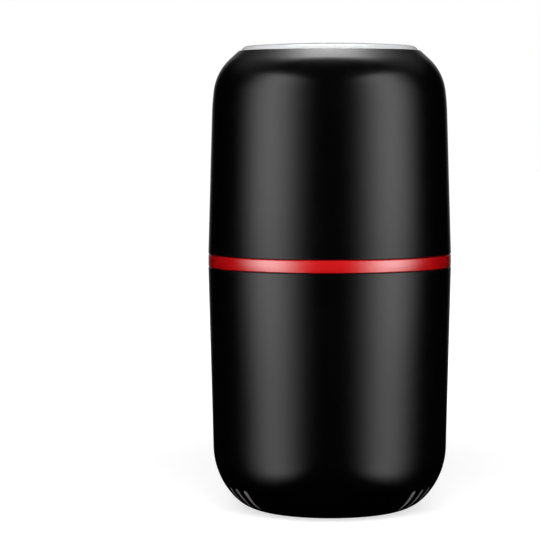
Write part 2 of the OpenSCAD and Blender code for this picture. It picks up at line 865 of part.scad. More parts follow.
module upper_bracket() {
    color([0.7, 0.7, 0.72])
        difference() {
            union() {
                bracket(upper_plate_z0, upper_plate_top, upper_boss_z0, deck_z,
                    stator_top, upper_plate_z0 + bracket_t / 2);
                for (p = MOUNT_SCREWS)
                    translate([p[0], p[1], 0])
                        rod(screw_r + 2, upper_plate_z0, deck_z);
            }
            rod(bearing_r, upper_boss_z0 + bearing_cap, deck_z + through);
            rod(shaft_r + 0.5, upper_boss_z0 - through, deck_z);
            for (x = [-1, 1])
                translate([x * motor_screw_x, 0, 0])
                    rod(screw_r, stator_top - through, deck_z);
            for (p = MOUNT_SCREWS)
                translate([p[0], p[1], 0])
                    rod(pilot_r, upper_plate_z0 - through, deck_z + through);
        }
}

module upper_bearing() {
    z0 = upper_boss_z0 + bearing_cap;
    color([0.72, 0.5, 0.25])
        ring(shaft_r + run_gap, bearing_r - press_gap, z0, z0 + bearing_h);
}

module lower_bracket() {
    color([0.7, 0.7, 0.72])
        difference() {
            union() {
                bracket(lower_plate_top - bracket_t, lower_plate_top, lower_boss_z0,
                    lower_plate_top, lower_plate_top - bracket_t / 2, stator_z0);
                translate([-holder_bar_w / 2, holder_bar_gap - holder_y1,
                           lower_plate_top - bracket_t])
                    cube([holder_bar_w, 2 * (holder_y1 - holder_bar_gap), bracket_t]);
                for (y = [-1, 1])
                    translate([-holder_post_w / 2,
                               y * (holder_y0 + holder_y1) / 2 - holder_post_l / 2,
                               lower_plate_top - bracket_t / 2])
                        cube([holder_post_w, holder_post_l,
                              holder_z0 - lower_plate_top + bracket_t / 2]);
            }
            rod(bearing_r, lower_boss_z0 + bearing_cap, lower_plate_top + through);
            rod(shaft_r + 0.5, lower_boss_z0 - through, lower_plate_top);
            for (x = [-1, 1])
                translate([x * motor_screw_x, 0, 0])
                    rod(screw_r + fit_gap, lower_boss_z0, stator_z0 + through);
        }
}

module lower_bearing() {
    z0 = lower_boss_z0 + bearing_cap;
    color([0.72, 0.5, 0.25])
        ring(shaft_r + run_gap, bearing_r - press_gap, z0, z0 + bearing_h);
}

// Pie slice of a flat shape, centred on an angle
module slice(angle, half, reach) {
    polygon([[0, 0], for (a = [angle - half, angle - half / 3, angle + half / 3, angle + half])
        reach * [cos(a), sin(a)]]);
}

module stator_core() {
    color([0.5, 0.5, 0.52])
        translate([0, 0, stator_z0])
            linear_extrude(height = stator_h)
                difference() {
                    intersection() {
                        circle(r = stator_r);
                        square([2 * stator_r + 2, 2 * stator_flat], center = true);
                    }
                    circle(r = armature_r + air_gap);
                    for (a = [90, 270])
                        intersection() {
                            circle(r = slot_r);
                            slice(a, 90 - pole_half, 1.4 * slot_r);
                        }
                    for (x = [-1, 1])
                        translate([x * motor_screw_x, 0])
                            circle(r = screw_r + fit_gap);
                }
}

// Block of a ring about the Z axis, centred on an angle
module sector(angle, half, r_in, r_out, z0, z1) {
    rotate([0, 0, angle - half])
        rotate_extrude(angle = 2 * half)
            translate([r_in, z0])
                square([r_out - r_in, z1 - z0]);
}

module coil_bobbins() {
    color([0.85, 0.82, 0.7])
        for (a = [0, 180])
            union() {
                sector(a, pole_half + 1, coil_in_r - 0.3, coil_out_r + 0.4, stator_top,
                    stator_top + bobbin_t);
                sector(a, pole_half + 1, coil_in_r - 0.3, coil_out_r + 0.4, stator_z0 - bobbin_t,
                    stator_z0);
            }
}

module field_coils() {
    color([0.72, 0.35, 0.15])
        for (a = [0, 180])
            difference() {
                sector(a, coil_half, coil_in_r, coil_out_r, stator_z0 - bobbin_t - coil_h,
                    stator_top + bobbin_t + coil_h);
                sector(a, pole_half + 1.5, coil_in_r - 1, coil_out_r + 1, stator_z0 - bobbin_t,
                    stator_top + bobbin_t);
            }
}

module motor_screws() {
    z0 = lower_plate_top - bracket_t;
    color("silver")
        for (x = [-1, 1])
            translate([x * motor_screw_x, 0, z0 - 2])
                pan_screw(screw_r - press_gap, screw_head_r, 2, upper_plate_top - 0.3 - z0 + 2);
}

module motor_mount_screws() {
    color("silver")
        for (p = MOUNT_SCREWS)
            translate([p[0], p[1], deck_top])
                mirror([0, 0, 1])
                    flat_screw(pilot_r - press_gap, screw_head_r, screw_head_h, deck_t + mount_bite);
}

// The two brushes lie along Y; each piece is drawn on the +Y side and turned about
module both_brushes() {
    for (a = [0, 180])
        rotate([0, 0, a])
            children();
}

module brush_holders() {
    out_w = brush_w + 2 * (holder_wall + fit_gap);
    out_h = brush_h + 2 * (holder_wall + fit_gap);
    color([0.8, 0.65, 0.3])
        both_brushes()
            difference() {
                translate([-out_w / 2, holder_y0, holder_z0])
                    cube([out_w, holder_y1 - holder_y0, out_h]);
                translate([-brush_w / 2 - fit_gap, holder_y0 - through,
                           brush_z - brush_h / 2 - fit_gap])
                    cube([brush_w + 2 * fit_gap, holder_y1 - holder_y0 - holder_end + through,
                          brush_h + 2 * fit_gap]);
            }
}

module carbon_brushes() {
    color([0.18, 0.18, 0.19])
        both_brushes()
            translate([-brush_w / 2, brush_y, brush_z - brush_h / 2])
                cube([brush_w, brush_l, brush_h]);
}

module brush_springs() {
    points = coil(brush_spring_r, brush_wire_r + touch_gap,
        brush_spring_l - brush_wire_r - touch_gap, brush_turns);
    echo(str("brush spring least gap ", coil_gap(points, brush_wire_r)));
    color("silver")
        both_brushes()
            translate([0, brush_y + brush_l, brush_z])
                rotate([-90, 0, 0])
                    wire(points, brush_wire_r, wire_sides, [0, 0, 1]);
}

module thermal_fuse() {
    fuse_r = 1.6;
    fuse_l = 9;
    color([0.85, 0.85, 0.85])
        rotate([0, 0, 38])
            translate([coil_out_r + fuse_r + 0.55, fuse_l / 2, stator_top + fuse_r + touch_gap])
                rotate([90, 0, 0])
                    union() {
                        cylinder(r = fuse_r, h = fuse_l);
                        translate([0, 0, -2])
                            cylinder(r = 0.4, h = fuse_l + 4);
                    }
}

module suppression_capacitor() {
    cap_l = 13;
    cap_w = 5;
    cap_h = 11;
    color([0.75, 0.6, 0.2])
        union() {
            translate([-cap_l / 2, -rod_y, deck_z - cap_h])
                cube([cap_l, cap_w, cap_h]);
            for (x = [-4, 4])
                translate([x, cap_w / 2 - rod_y, 0])
                    rod(0.4, deck_z - cap_h - 4, deck_z - cap_h + 1);
        }
}

module switch_body() {
    ear_h = pivot_z - switch_top + 0.9;
    color([0.12, 0.12, 0.13])
        difference() {
            union() {
                translate([switch_x0, switch_y - switch_w / 2, switch_z0])
                    cube([switch_l, switch_w, switch_h]);
                for (y = [-1, 1])
                    translate([pivot_x - ear_w / 2,
                               switch_y + y * (lever_w + ear_t + 2 * ear_gap) / 2 - ear_t / 2,
                               switch_top - 1])
                        cube([ear_w, ear_t, ear_h + 1]);
            }
            translate([plunger_x, switch_y, 0])
                rod(plunger_r + run_gap, switch_top - 3.2, switch_top + through);
            for (x = [-1, 1])
                translate([x * switch_screw_gap / 2, hanger_y, switch_hole_z])
                    rotate([-90, 0, 0])
                        cylinder(r = small_screw_r + fit_gap, h = 2 * switch_w);
            translate([pivot_x, hanger_y, pivot_z])
                rotate([-90, 0, 0])
                    cylinder(r = pin_r + run_gap, h = 2 * switch_w);
        }
}

module switch_terminals() {
    color([0.8, 0.65, 0.3])
        for (x = [switch_x0 + 2, switch_x0 + switch_l / 2, switch_x0 + switch_l - 2])
            translate([x - terminal_w / 2, switch_y - terminal_t / 2, switch_z0 - terminal_l])
                cube([terminal_w, terminal_t, terminal_l]);
}

module switch_screws() {
    color("silver")
        for (x = [-1, 1])
            translate([x * switch_screw_gap / 2, switch_y + switch_w / 2 + small_head_h,
                       switch_hole_z])
                rotate([90, 0, 0])
                    pan_screw(small_screw_r - press_gap, small_head_r, small_head_h,
                        switch_w + hanger_t);
}

module switch_lever() {
    color([0.75, 0.75, 0.77])
        translate([pivot_x, switch_y, pivot_z])
            rotate([0, -lever_rise, 0])
                union() {
                    translate([-lever_heel, -lever_w / 2, 0])
                        cube([lever_l, lever_w, lever_t]);
                    rotate([90, 0, 0])
                        translate([0, 0, -lever_w / 2 - pin_end])
                            cylinder(r = pin_r, h = lever_w + 2 * pin_end);
                }
}

module switch_plunger() {
    color([0.7, 0.1, 0.1])
        translate([plunger_x, switch_y, 0])
            rotate_extrude()
                union() {
                    translate([0, switch_top - 1.4])
                        square([plunger_r, plunger_ball_z - switch_top + 1.4]);
                    intersection() {
                        translate([0, plunger_ball_z])
                            circle(r = plunger_r);
                        translate([0, plunger_ball_z - 0.1])
                            square([plunger_r, plunger_r + 1]);
                    }
                }
}

module push_rod() {
    color([0.85, 0.85, 0.82])
        translate([0, rod_y, 0])
            rotate_extrude()
                union() {
                    translate([0, rod_ball_z])
                        square([rod_r, rod_top - rod_ball_z]);
                    translate([0, collar_z])
                        square([rod_collar_r, collar_t]);
                    intersection() {
                        translate([0, rod_ball_z])
                            circle(r = rod_r);
                        translate([0, rod_ball_z - rod_r - 1])
                            square([rod_r, rod_r + 1.1]);
                    }
                }
}

module push_rod_spring() {
    points = coil(rod_spring_r, deck_top + rod_wire_r + touch_gap,
        collar_z - rod_wire_r - touch_gap, rod_turns);
    echo(str("push rod spring least gap ", coil_gap(points, rod_wire_r)));
    color("silver")
        translate([0, rod_y, 0])
            wire(points, rod_wire_r, wire_sides, [0, 0, 1]);
}

module motor_shaft() {
    color([0.75, 0.75, 0.77])
        rod(shaft_r, shaft_z0, shaft_top);
}

// Flat section of the slots of the armature, widened by grow
module armature_slots(grow) {
    for (k = [0 : slots - 1])
        rotate([0, 0, 360 * k / slots])
            translate([armature_r * 0.54 - grow, -armature_slot_w / 2 - grow])
                square([armature_r * 0.38 + 2 * grow, armature_slot_w + 2 * grow]);
}

module armature_core() {
    color([0.45, 0.45, 0.47])
        translate([0, 0, stator_z0])
            linear_extrude(height = stator_h)
                difference() {
                    circle(r = armature_r);
                    circle(r = shaft_r + press_gap);
                    armature_slots(0);
                    for (k = [0 : slots - 1])
                        rotate([0, 0, 360 * k / slots])
                            translate([armature_r * 0.9, -armature_mouth_w / 2])
                                square([armature_r * 0.2, armature_mouth_w]);
                }
}

module armature_windings() {
    in_r = shaft_r + 2.5;
    out_r = armature_r - winding_round;
    color([0.7, 0.32, 0.12])
        union() {
            for (z0 = [stator_z0 - winding_gap - winding_h, stator_top + winding_gap])
                rotate_extrude()
                    polygon([[in_r + winding_round, z0], [out_r - winding_round, z0],
                             [out_r, z0 + winding_round], [out_r, z0 + winding_h - winding_round],
                             [out_r - winding_round, z0 + winding_h],
                             [in_r + winding_round, z0 + winding_h],
                             [in_r, z0 + winding_h - winding_round], [in_r, z0 + winding_round]]);
            translate([0, 0, stator_z0 - winding_gap - 0.5])
                linear_extrude(height = stator_h + 2 * winding_gap + 1)
                    armature_slots(-0.1);
        }
}

module commutator() {
    color([0.75, 0.42, 0.2])
        difference() {
            union() {
                rod(commutator_r, commutator_z0, commutator_top);
                rod(shaft_r + 2.6, commutator_z0 - 1.4, commutator_top);
                rod(commutator_r + riser_w, commutator_top - riser_h, commutator_top);
            }
            rod(shaft_r + press_gap, commutator_z0 - 2, commutator_top + through);
            for (k = [0 : slots - 1])
                rotate([0, 0, 360 * (k + 0.5) / slots])
                    translate([commutator_r - bar_gap_depth, -bar_gap / 2, commutator_z0 - through])
                        cube([3 * riser_w, bar_gap, commutator_h + 2 * through]);
        }
}

module thrust_washer() {
    z0 = lower_plate_top + touch_gap;
    color([0.9, 0.9, 0.85])
        ring(shaft_r + press_gap, shaft_r + 2.2, z0, z0 + washer_t);
}

module cooling_fan() {
    color([0.85, 0.85, 0.83])
        difference() {
            union() {
                rod(fan_hub_r, fan_z0, fan_top + 0.7);
                rod(fan_r, fan_top - fan_plate_t, fan_top);
                for (k = [0 : fan_blades - 1])
                    rotate([0, 0, 360 * k / fan_blades])
                        translate([fan_hub_r - 1, -fan_blade_t / 2, fan_z0])
                            rotate([0, 0, -fan_lean])
                                cube([fan_r - fan_hub_r + 0.5, fan_blade_t,
                                      fan_h - fan_plate_t / 2]);
            }
            rod(shaft_r + press_gap, fan_z0 - through, fan_top + 2);
        }
}

module blade_hub() {
    color([0.16, 0.16, 0.17])
        rotate_extrude()
            polygon([[shaft_r + press_gap, blade_hub_z0], [sleeve_r - 0.6, blade_hub_z0],
                     [sleeve_r - 0.6, blade_hub_z0 + 2], [shaft_r + 2.6, blade_z],
                     [shaft_r + press_gap, blade_z]]);
}

// Side view of the blade: a bent strip, one tip up and the other down
module blade_strip() {
    bend_x = blade_r * 0.55;
    mitre = blade_t / 2 * tan(blade_bend / 2);
    half = blade_t / 2;
    run = blade_r * cos(blade_bend);
    rise = blade_r * sin(blade_bend);
    polygon([[bend_x + mitre, -half], [bend_x + mitre + run, rise - half],
             [bend_x - mitre + run, rise + half], [bend_x - mitre, half],
             [-bend_x - mitre, half], [-bend_x - mitre - run, half - rise],
             [-bend_x + mitre - run, -half - rise], [-bend_x + mitre, -half]]);
}

module blade() {
    half = blade_w / 2;
    in_x = blade_r * 0.82;
    out_x = blade_r * 0.865;
    color([0.82, 0.82, 0.84])
        intersection() {
            translate([0, blade_w, blade_z + blade_t / 2])
                rotate([90, 0, 0])
                    linear_extrude(height = 2 * blade_w)
                        blade_strip();
            translate([0, 0, blade_z - blade_r])
                linear_extrude(height = 2 * blade_r)
                    difference() {
                        polygon([[in_x, -half], [blade_r, half / 2], [out_x, half],
                                 [-in_x, half], [-blade_r, -half / 2], [-out_x, -half]]);
                        circle(r = shaft_r + press_gap);
                    }
        }
}

module blade_nut() {
    top = blade_nut_z0 + blade_nut_h;
    color([0.8, 0.8, 0.82])
        difference() {
            union() {
                translate([0, 0, blade_nut_z0])
                    cylinder(r = blade_nut_r, h = blade_nut_h - blade_nut_dome, $fn = 6);
                translate([0, 0, top - blade_nut_dome])
                    cylinder(r1 = blade_nut_r - 0.9, r2 = shaft_r - 0.4, h = blade_nut_dome);
            }
            rod(shaft_r + press_gap, blade_nut_z0 - through, shaft_top + 0.1);
        }
}

module lid_shell() {
    color([0.05, 0.05, 0.055])
        difference() {
            union() {
                rotate_extrude()
                    difference() {
                        union() {
                            lid_outline(0, lid_z0, [on_arc(fillet_c, lid_fillet, shoulder_to),
                                [window_r, lid_top], [0, lid_top]]);
                            arc_fill(fillet_c, lid_fillet, shoulder_to, 90);
                        }
                        lid_region(wall, window_r, lid_z0 - through, lid_top + through);
                        polygon([[body_r - seam_chamfer, lid_z0],
                                 [body_r + through, lid_z0 + seam_chamfer + through],
                                 [body_r + through, lid_z0 - through],
                                 [body_r - seam_chamfer, lid_z0 - through]]);
                    }
                around(retainer_pc, RETAINER_SCREW_ANGLES)
                    retainer_boss();
            }
            around(retainer_pc, RETAINER_SCREW_ANGLES)
                rod(pilot_r, retainer_top - through, retainer_top + retainer_bite + bite_gap);
            translate([-key_w / 2 - key_gap, -neck_r - key_h - key_gap, lid_z0 - through])
                cube([key_w + 2 * key_gap, key_h, neck_top - lid_z0 + through]);
        }
}

// Column inside the lid that a retainer screw goes into, tied to the wall by a rib
module retainer_boss() {
    rib_to = lid_side(retainer_top + retainer_boss_h) - wall / 2 - retainer_pc;
    rod(pilot_r + retainer_boss_wall, retainer_top, retainer_top + retainer_boss_h);
    translate([0, -rib_t / 2, retainer_top])
        cube([rib_to, rib_t, retainer_boss_h]);
}

module lid_retainer() {
    color([0.09, 0.09, 0.1])
        difference() {
            ring(retainer_in_r, retainer_r, retainer_z, retainer_top);
            around(retainer_pc, RETAINER_SCREW_ANGLES)
                translate([0, 0, retainer_z])
                    flat_screw(pilot_r + lid_screw_gap, lid_head_r + lid_screw_gap, lid_head_h,
                        retainer_t + through);
            translate([0, rod_y, 0])
                rod(pad_r + pad_gap, retainer_z - through, retainer_top + through);
            translate([-pad_r - pad_gap, bowl_r, retainer_z - through])
                cube([2 * (pad_r + pad_gap), rod_y - bowl_r, retainer_t + 2 * through]);
        }
}

module retainer_screws() {
    color("silver")
        around(retainer_pc, RETAINER_SCREW_ANGLES)
            translate([0, 0, retainer_z])
                flat_screw(pilot_r - press_gap, lid_head_r, lid_head_h, retainer_t + retainer_bite);
}

module cup_springs() {
    points = coil(cup_spring_r, retainer_top + cup_wire_r + touch_gap,
        lug_z - cup_wire_r - touch_gap, cup_turns);
    echo(str("cup spring least gap ", coil_gap(points, cup_wire_r)));
    color("silver")
        around(spring_pc, SPRING_ANGLES)
            wire(points, cup_wire_r, wire_sides, [0, 0, 1]);
}

// Half section of the cup, filled; the dome is part of a large circle through the edge
module cup_outer() {
    edge_z = cap_top - cap_dome;
    side_z = edge_z - cap_fillet;
    flat_r = cap_r - cap_fillet;
    dome_r = (flat_r * flat_r + cap_dome * cap_dome) / (2 * cap_dome);
    intersection() {
        lid_region(wall + cup_gap, cap_r, cup_rim_z, side_z);
        square([cup_out_r, cap_top]);
    }
    translate([0, side_z - 1])
        square([flat_r, cap_fillet + 1]);
    arc_fill([flat_r, side_z], cap_fillet, 0, 90);
    polygon([[0, side_z - 0.5], [cap_r, side_z - 0.5], [cap_r, side_z],
             [flat_r, edge_z], [0, edge_z]]);
    intersection() {
        translate([0, cap_top - dome_r])
            circle(r = dome_r, $fn = 1440);
        translate([0, edge_z - 0.3])
            square([flat_r, cap_dome + 1]);
    }
}

// Hollow of the cup
module cup_inner() {
    intersection() {
        lid_region(wall + cup_gap + cup_wall, cap_r - 2 * cap_fillet, cup_rim_z - through, cap_top);
        square([cup_r, cap_top - cap_dome - window_t]);
    }
}

module press_cup() {
    color([0.85, 0.88, 0.9, 0.5])
        union() {
            rotate_extrude()
                difference() {
                    cup_outer();
                    cup_inner();
                }
            for (a = concat([90], SPRING_ANGLES))
                rotate([0, 0, a])
                    cup_lug();
            translate([0, rod_y, 0])
                rod(pad_r, rod_top + touch_gap, lug_z + lug_t / 2);
        }
}

// Lug on the outside of the cup, on the +X side
module cup_lug() {
    translate([cup_out_r - cup_wall / 2, -lug_w / 2, lug_z])
        cube([lug_r - cup_out_r + cup_wall / 2, lug_w, lug_t]);
}

module cup_gasket() {
    color([0.2, 0.2, 0.2])
        rotate_extrude()
            polygon([[gasket_in_r, cup_rim_z - cup_gasket_t],
                     [gasket_out_r, cup_rim_z - cup_gasket_t],
                     [gasket_out_r, cup_rim_z + cup_gasket_lip],
                     [cup_out_r + touch_gap, cup_rim_z + cup_gasket_lip],
                     [cup_out_r + touch_gap, cup_rim_z],
                     [gasket_in_r, cup_rim_z]]);
}

module lead_wires() {
    color([0.1, 0.2, 0.6])
        union() {
            wire(switch_lead(), lead_r, 8, [1, 0.2, 0]);
            mirror([0, 1, 0])
                wire(coil_lead(), lead_r, 8, [1, 0.2, 0]);
        }
}

// Lead from the middle terminal of the switch down to the rear brush holder
function switch_lead() = let (x = switch_x0 + switch_l / 2, y = switch_y,
        z0 = switch_z0 - terminal_l - fit_gap, z1 = brush_z, y1 = holder_y1 + lead_gap)
    [for (k = [0 : 14]) let (t = k / 14, s = t * t * (3 - 2 * t))
        [x * (1 - s), y + (y1 - y) * s * s + 1.2 * sin(180 * t), z0 + (z1 - z0) * sin(90 * t)]];

// Lead from the capacitor to the front brush holder, drawn on the +Y side
function coil_lead() = let (x = coil_lead_x, y = rod_y - coil_lead_in,
        z0 = deck_z - coil_lead_drop, z1 = brush_z,
        y1 = holder_y1 + lead_gap)
    [for (k = [0 : 14]) let (t = k / 14, s = t * t * (3 - 2 * t))
        [x * (1 - s), y + (y1 - y) * s * s + 1.2 * sin(180 * t), z0 + (z1 - z0) * sin(90 * t)]];

base_shell();
bottom_cover();
bottom_cover_screws();
rubber_feet();
vent_screen();
cord_gland();
chassis();
chassis_screws();
band_ring();
grinding_bowl();
bowl_gasket();
bowl_nut();
shaft_seal();
upper_bracket();
upper_bearing();
lower_bracket();
lower_bearing();
stator_core();
coil_bobbins();
field_coils();
motor_screws();
motor_mount_screws();
brush_holders();
carbon_brushes();
brush_springs();
thermal_fuse();
suppression_capacitor();
lead_wires();
switch_body();
switch_terminals();
switch_screws();
push_rod_spring();
motor_shaft();
armature_core();
armature_windings();
commutator();
thrust_washer();
cooling_fan();
blade_hub();
blade();
blade_nut();
push_rod();
switch_lever();
switch_plunger();
lid_shell();
lid_retainer();
retainer_screws();
cup_springs();
press_cup();
cup_gasket();
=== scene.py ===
import math

import bmesh
import bpy
from mathutils import Matrix, Vector


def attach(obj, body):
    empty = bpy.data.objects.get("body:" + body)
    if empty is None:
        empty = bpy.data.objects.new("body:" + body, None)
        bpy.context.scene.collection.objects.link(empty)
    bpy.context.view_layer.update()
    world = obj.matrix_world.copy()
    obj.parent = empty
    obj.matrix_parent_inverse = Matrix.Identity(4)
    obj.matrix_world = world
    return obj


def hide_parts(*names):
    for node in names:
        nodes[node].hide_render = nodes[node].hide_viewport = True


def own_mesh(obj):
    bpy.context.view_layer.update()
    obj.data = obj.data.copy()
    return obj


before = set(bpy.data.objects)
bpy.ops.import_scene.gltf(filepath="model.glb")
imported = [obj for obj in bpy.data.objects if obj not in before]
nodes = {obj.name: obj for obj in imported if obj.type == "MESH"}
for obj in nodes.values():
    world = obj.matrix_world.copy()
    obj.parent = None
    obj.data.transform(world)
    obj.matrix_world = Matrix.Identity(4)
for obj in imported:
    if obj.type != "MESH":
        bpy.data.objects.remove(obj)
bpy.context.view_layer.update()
scene = bpy.context.scene

# An electric coffee grinder. Pieces that show, some of them only with the lid off, are made again here from
# the sizes of the solids, with rounded edges; the others keep their solid. The order is sizes, helpers,
# materials, pieces, studio and lamps.

# ---------------------------------------------------------------- sizes in millimetres, as in the solids
# R is a radius, PC the distance of a ring of parts from the axis, Z a height, T a thickness and W a width
MM = 0.001
# the body: its radius and wall, heights from the foot up, and the chamfer on the edges that meet the band
BODY_R, WALL = 48.0, 2.2
FLOOR_Z, BASE_TOP, BAND_TOP, LID_Z0, LID_TOP = 0.6, 97.1, 102.0, 102.1, 182.1
CAP_TOP, NECK_TOP, SEAM_EDGE = 185.0, 110.4, 0.35
# outlines of the base and of the lid; a TAPER is a lean and a TO the end of a round, both in degrees
BASE_TAPER, BASE_ROUND_R, BASE_ROUND_TO, HEEL_R = 1.44, 29.2, 43.0, 17.7
LID_TAPER, SWELL_R, SWELL_TO, SHOULDER_R, SHOULDER_TO = 1.68, 100.0, 7.0, 20.4, 47.7
WINDOW_R, LID_FILLET = 35.4, 0.8
# bottom opening, vent slots, band, and the hole for the cord gland
BOTTOM_R, BOTTOM_RIM_W, LEDGE_IN_R, COVER_TOP = 25.0, 2.0, 21.5, 2.8
VENTS, VENT_PITCH, VENT_W, VENT_TOP, VENT_R = 10, 8.5, 2.8, 11.3, 34.0
BAND_IN_R = 45.196
GLAND_Z, GLAND_Y, GLAND_BORE_R, GLAND_SEAT_R = 34.0, 45.654, 4.7, 6.6
# inside the lid: the notch for the key of the neck, and screw posts with a rib each
KEY_HALF_W, KEY_IN, KEY_OUT = 2.3, 44.0, 46.6
POST_PC, POST_BORE_R, POST_R, POST_Z, POST_TOP = 42.75, 1.25, 2.55, 112.6, 123.6
RIB_IN, RIB_OUT, RIB_HALF_W = 2.0, 3.4, 1.5
# press cup: cap, walls, lugs, and the pad over the push rod
CAP_R, CAP_DOME, CAP_FILLET, WINDOW_T = 35.05, 1.0, 3.0, 4.0
CUP_R, CUP_OUT_R, CUP_RIM_Z, CUP_WALL, CUP_GAP = 36.9, 38.7, 114.9, 1.8, 0.35
LUG_Z, LUG_T, LUG_W, LUG_R = 121.0, 2.0, 8.0, 44.75
PAD_R, PAD_Z, ROD_Y = 1.7, 113.2, 41.896
# bowl and blade
BOWL_R, BOWL_T, BOWL_Z, BOWL_RIM_W, BOWL_ROUND = 36.4, 0.5, 77.1, 3.1, 9.0
BOWL_HOLE_R, BOWL_LIP_R, BOWL_LIP_DROP = 7.1, 0.9, 0.3
BLADE_R, BLADE_W, BLADE_T, BLADE_BEND, BLADE_Z, BLADE_HOLE_R = 30.0, 11.0, 1.4, 14.0, 86.6, 3.02
# screws: shank, distances from the axis, and how far each bites past the piece that it holds
SCREW_R, COVER_SCREW_PC, DECK_SCREW_PC = 1.23, 21.4, 38.0
COVER_BITE, RETAINER_BITE, DECK_BITE = 5.0, 7.0, 8.0
RETAINER_Z, RETAINER_T, DECK_TOP, DECK_T, PAN_HEAD_H = 111.0, 1.6, 76.1, 3.0, 1.7
# springs: coil, wire and turns, the collar over the rod's spring, and the gap to what a spring rests on
CUP_SPRING_R, CUP_WIRE_R, CUP_TURNS, CUP_SPRING_PC = 1.6, 0.25, 4, 42.42
ROD_SPRING_R, ROD_WIRE_R, ROD_TURNS, COLLAR_Z = 2.1, 0.35, 7, 94.1
TOUCH_GAP = 0.05
# places round the axis; three of the lugs lie over the springs and one over the push rod
RETAINER_ANGLES, SPRING_ANGLES, LUG_ANGLES = (0, 120, 240), (30, 150, 270), (30, 90, 150, 270)
COVER_SCREW_ANGLES, DECK_SCREW_ANGLES = (0, 90, 180, 270), (30, 150, 210, 330)


# angles are in degrees, as in the solids
def sin(a):
    return math.sin(math.radians(a))


def cos(a):
    return math.cos(math.radians(a))


def tan(a):
    return math.tan(math.radians(a))


def arc(c, r, a, b, n):
    """n + 1 points of an arc about c, from angle a to angle b."""
    return [(c[0] + r * cos(a + (b - a) * k / n), c[1] + r * sin(a + (b - a) * k / n)) for k in range(n + 1)]


def rect(x0, y0, x1, y1):
    """The corners of a rectangle, also of one in radius and height."""
    return [(x0, y0), (x1, y0), (x1, y1), (x0, y1)]


# centres of the rounds of the base and of the lid, as in the solids
round_z = FLOOR_Z + HEEL_R * (1 - sin(BASE_ROUND_TO)) + BASE_ROUND_R * (sin(BASE_ROUND_TO) - sin(BASE_TAPER))
round_x = BODY_R - (BASE_TOP - round_z) * tan(BASE_TAPER)
BASE_C1 = (round_x - BASE_ROUND_R * cos(BASE_TAPER), round_z + BASE_ROUND_R * sin(BASE_TAPER))
BASE_C2 = (BASE_C1[0] + (BASE_ROUND_R - HEEL_R) * cos(BASE_ROUND_TO),
           BASE_C1[1] - (BASE_ROUND_R - HEEL_R) * sin(BASE_ROUND_TO))
lid_drop = (LID_FILLET - LID_FILLET * sin(SHOULDER_TO) + SHOULDER_R * (sin(SHOULDER_TO) - sin(SWELL_TO))
            + SWELL_R * (sin(SWELL_TO) - sin(LID_TAPER)))
lid_reach = (WINDOW_R + LID_FILLET * cos(SHOULDER_TO) - SHOULDER_R * (cos(SHOULDER_TO) - cos(SWELL_TO))
             - SWELL_R * (cos(SWELL_TO) - cos(LID_TAPER)))
slope_l = ((BODY_R - lid_reach - (LID_TOP - LID_Z0 - lid_drop) * tan(LID_TAPER))
           / (sin(SHOULDER_TO) - cos(SHOULDER_TO) * tan(LID_TAPER)))
FILLET_C = (WINDOW_R, LID_TOP - LID_FILLET)
slope_end = (FILLET_C[0] + LID_FILLET * cos(SHOULDER_TO) + slope_l * sin(SHOULDER_TO),
             FILLET_C[1] + LID_FILLET * sin(SHOULDER_TO) - slope_l * cos(SHOULDER_TO))
SHOULDER_C = (slope_end[0] - SHOULDER_R * cos(SHOULDER_TO), slope_end[1] - SHOULDER_R * sin(SHOULDER_TO))
SWELL_C = (SHOULDER_C[0] - (SWELL_R - SHOULDER_R) * cos(SWELL_TO),
           SHOULDER_C[1] - (SWELL_R - SHOULDER_R) * sin(SWELL_TO))


def lid_curve(inset, fine=1):
    """The lid's swell and shoulder, drawn in by inset, from the bottom up; fine multiplies the steps."""
    return (arc(SWELL_C, SWELL_R - inset, LID_TAPER, SWELL_TO, 10 * fine)
            + arc(SHOULDER_C, SHOULDER_R - inset, SWELL_TO, SHOULDER_TO, 24 * fine)[1:])


def base_curve(inset, fine=1):
    """The base's heel and large round, drawn in by inset, from the bottom up."""
    return (arc(BASE_C2, HEEL_R - inset, -90, -BASE_ROUND_TO, 20 * fine)
            + arc(BASE_C1, BASE_ROUND_R - inset, -BASE_ROUND_TO, -BASE_TAPER, 24 * fine)[1:])


# ---------------------------------------------------------------- mesh helpers
SHARP = 32.0  # edges that turn by more than this are drawn sharp
SHELL_SEGMENTS, SEGMENTS, SMALL_SEGMENTS = 320, 256, 40
EDGE_ROUND = 0.12
ON_AXIS = 1e-6  # millimetres


def smooth(obj, sharp):
    mesh = obj.data
    mesh.polygons.foreach_set("use_smooth", [True] * len(mesh.polygons))
    mesh.set_sharp_from_angle(angle=math.radians(sharp))


def new_object(name, bm, sharp=SHARP):
    mesh = bpy.data.meshes.new(name)
    bm.to_mesh(mesh)
    bm.free()
    obj = bpy.data.objects.new(name, mesh)
    scene.collection.objects.link(obj)
    smooth(obj, sharp)
    return obj


def finish_mesh(name, bm, sharp=SHARP, at=None):
    """Moves a mesh by the matrix at, closes its seams and turns its faces outward."""
    if at is not None:
        bmesh.ops.transform(bm, matrix=at, verts=bm.verts)
    bmesh.ops.remove_doubles(bm, verts=bm.verts, dist=1e-7)
    bmesh.ops.recalc_face_normals(bm, faces=bm.faces)
    return new_object(name, bm, sharp)


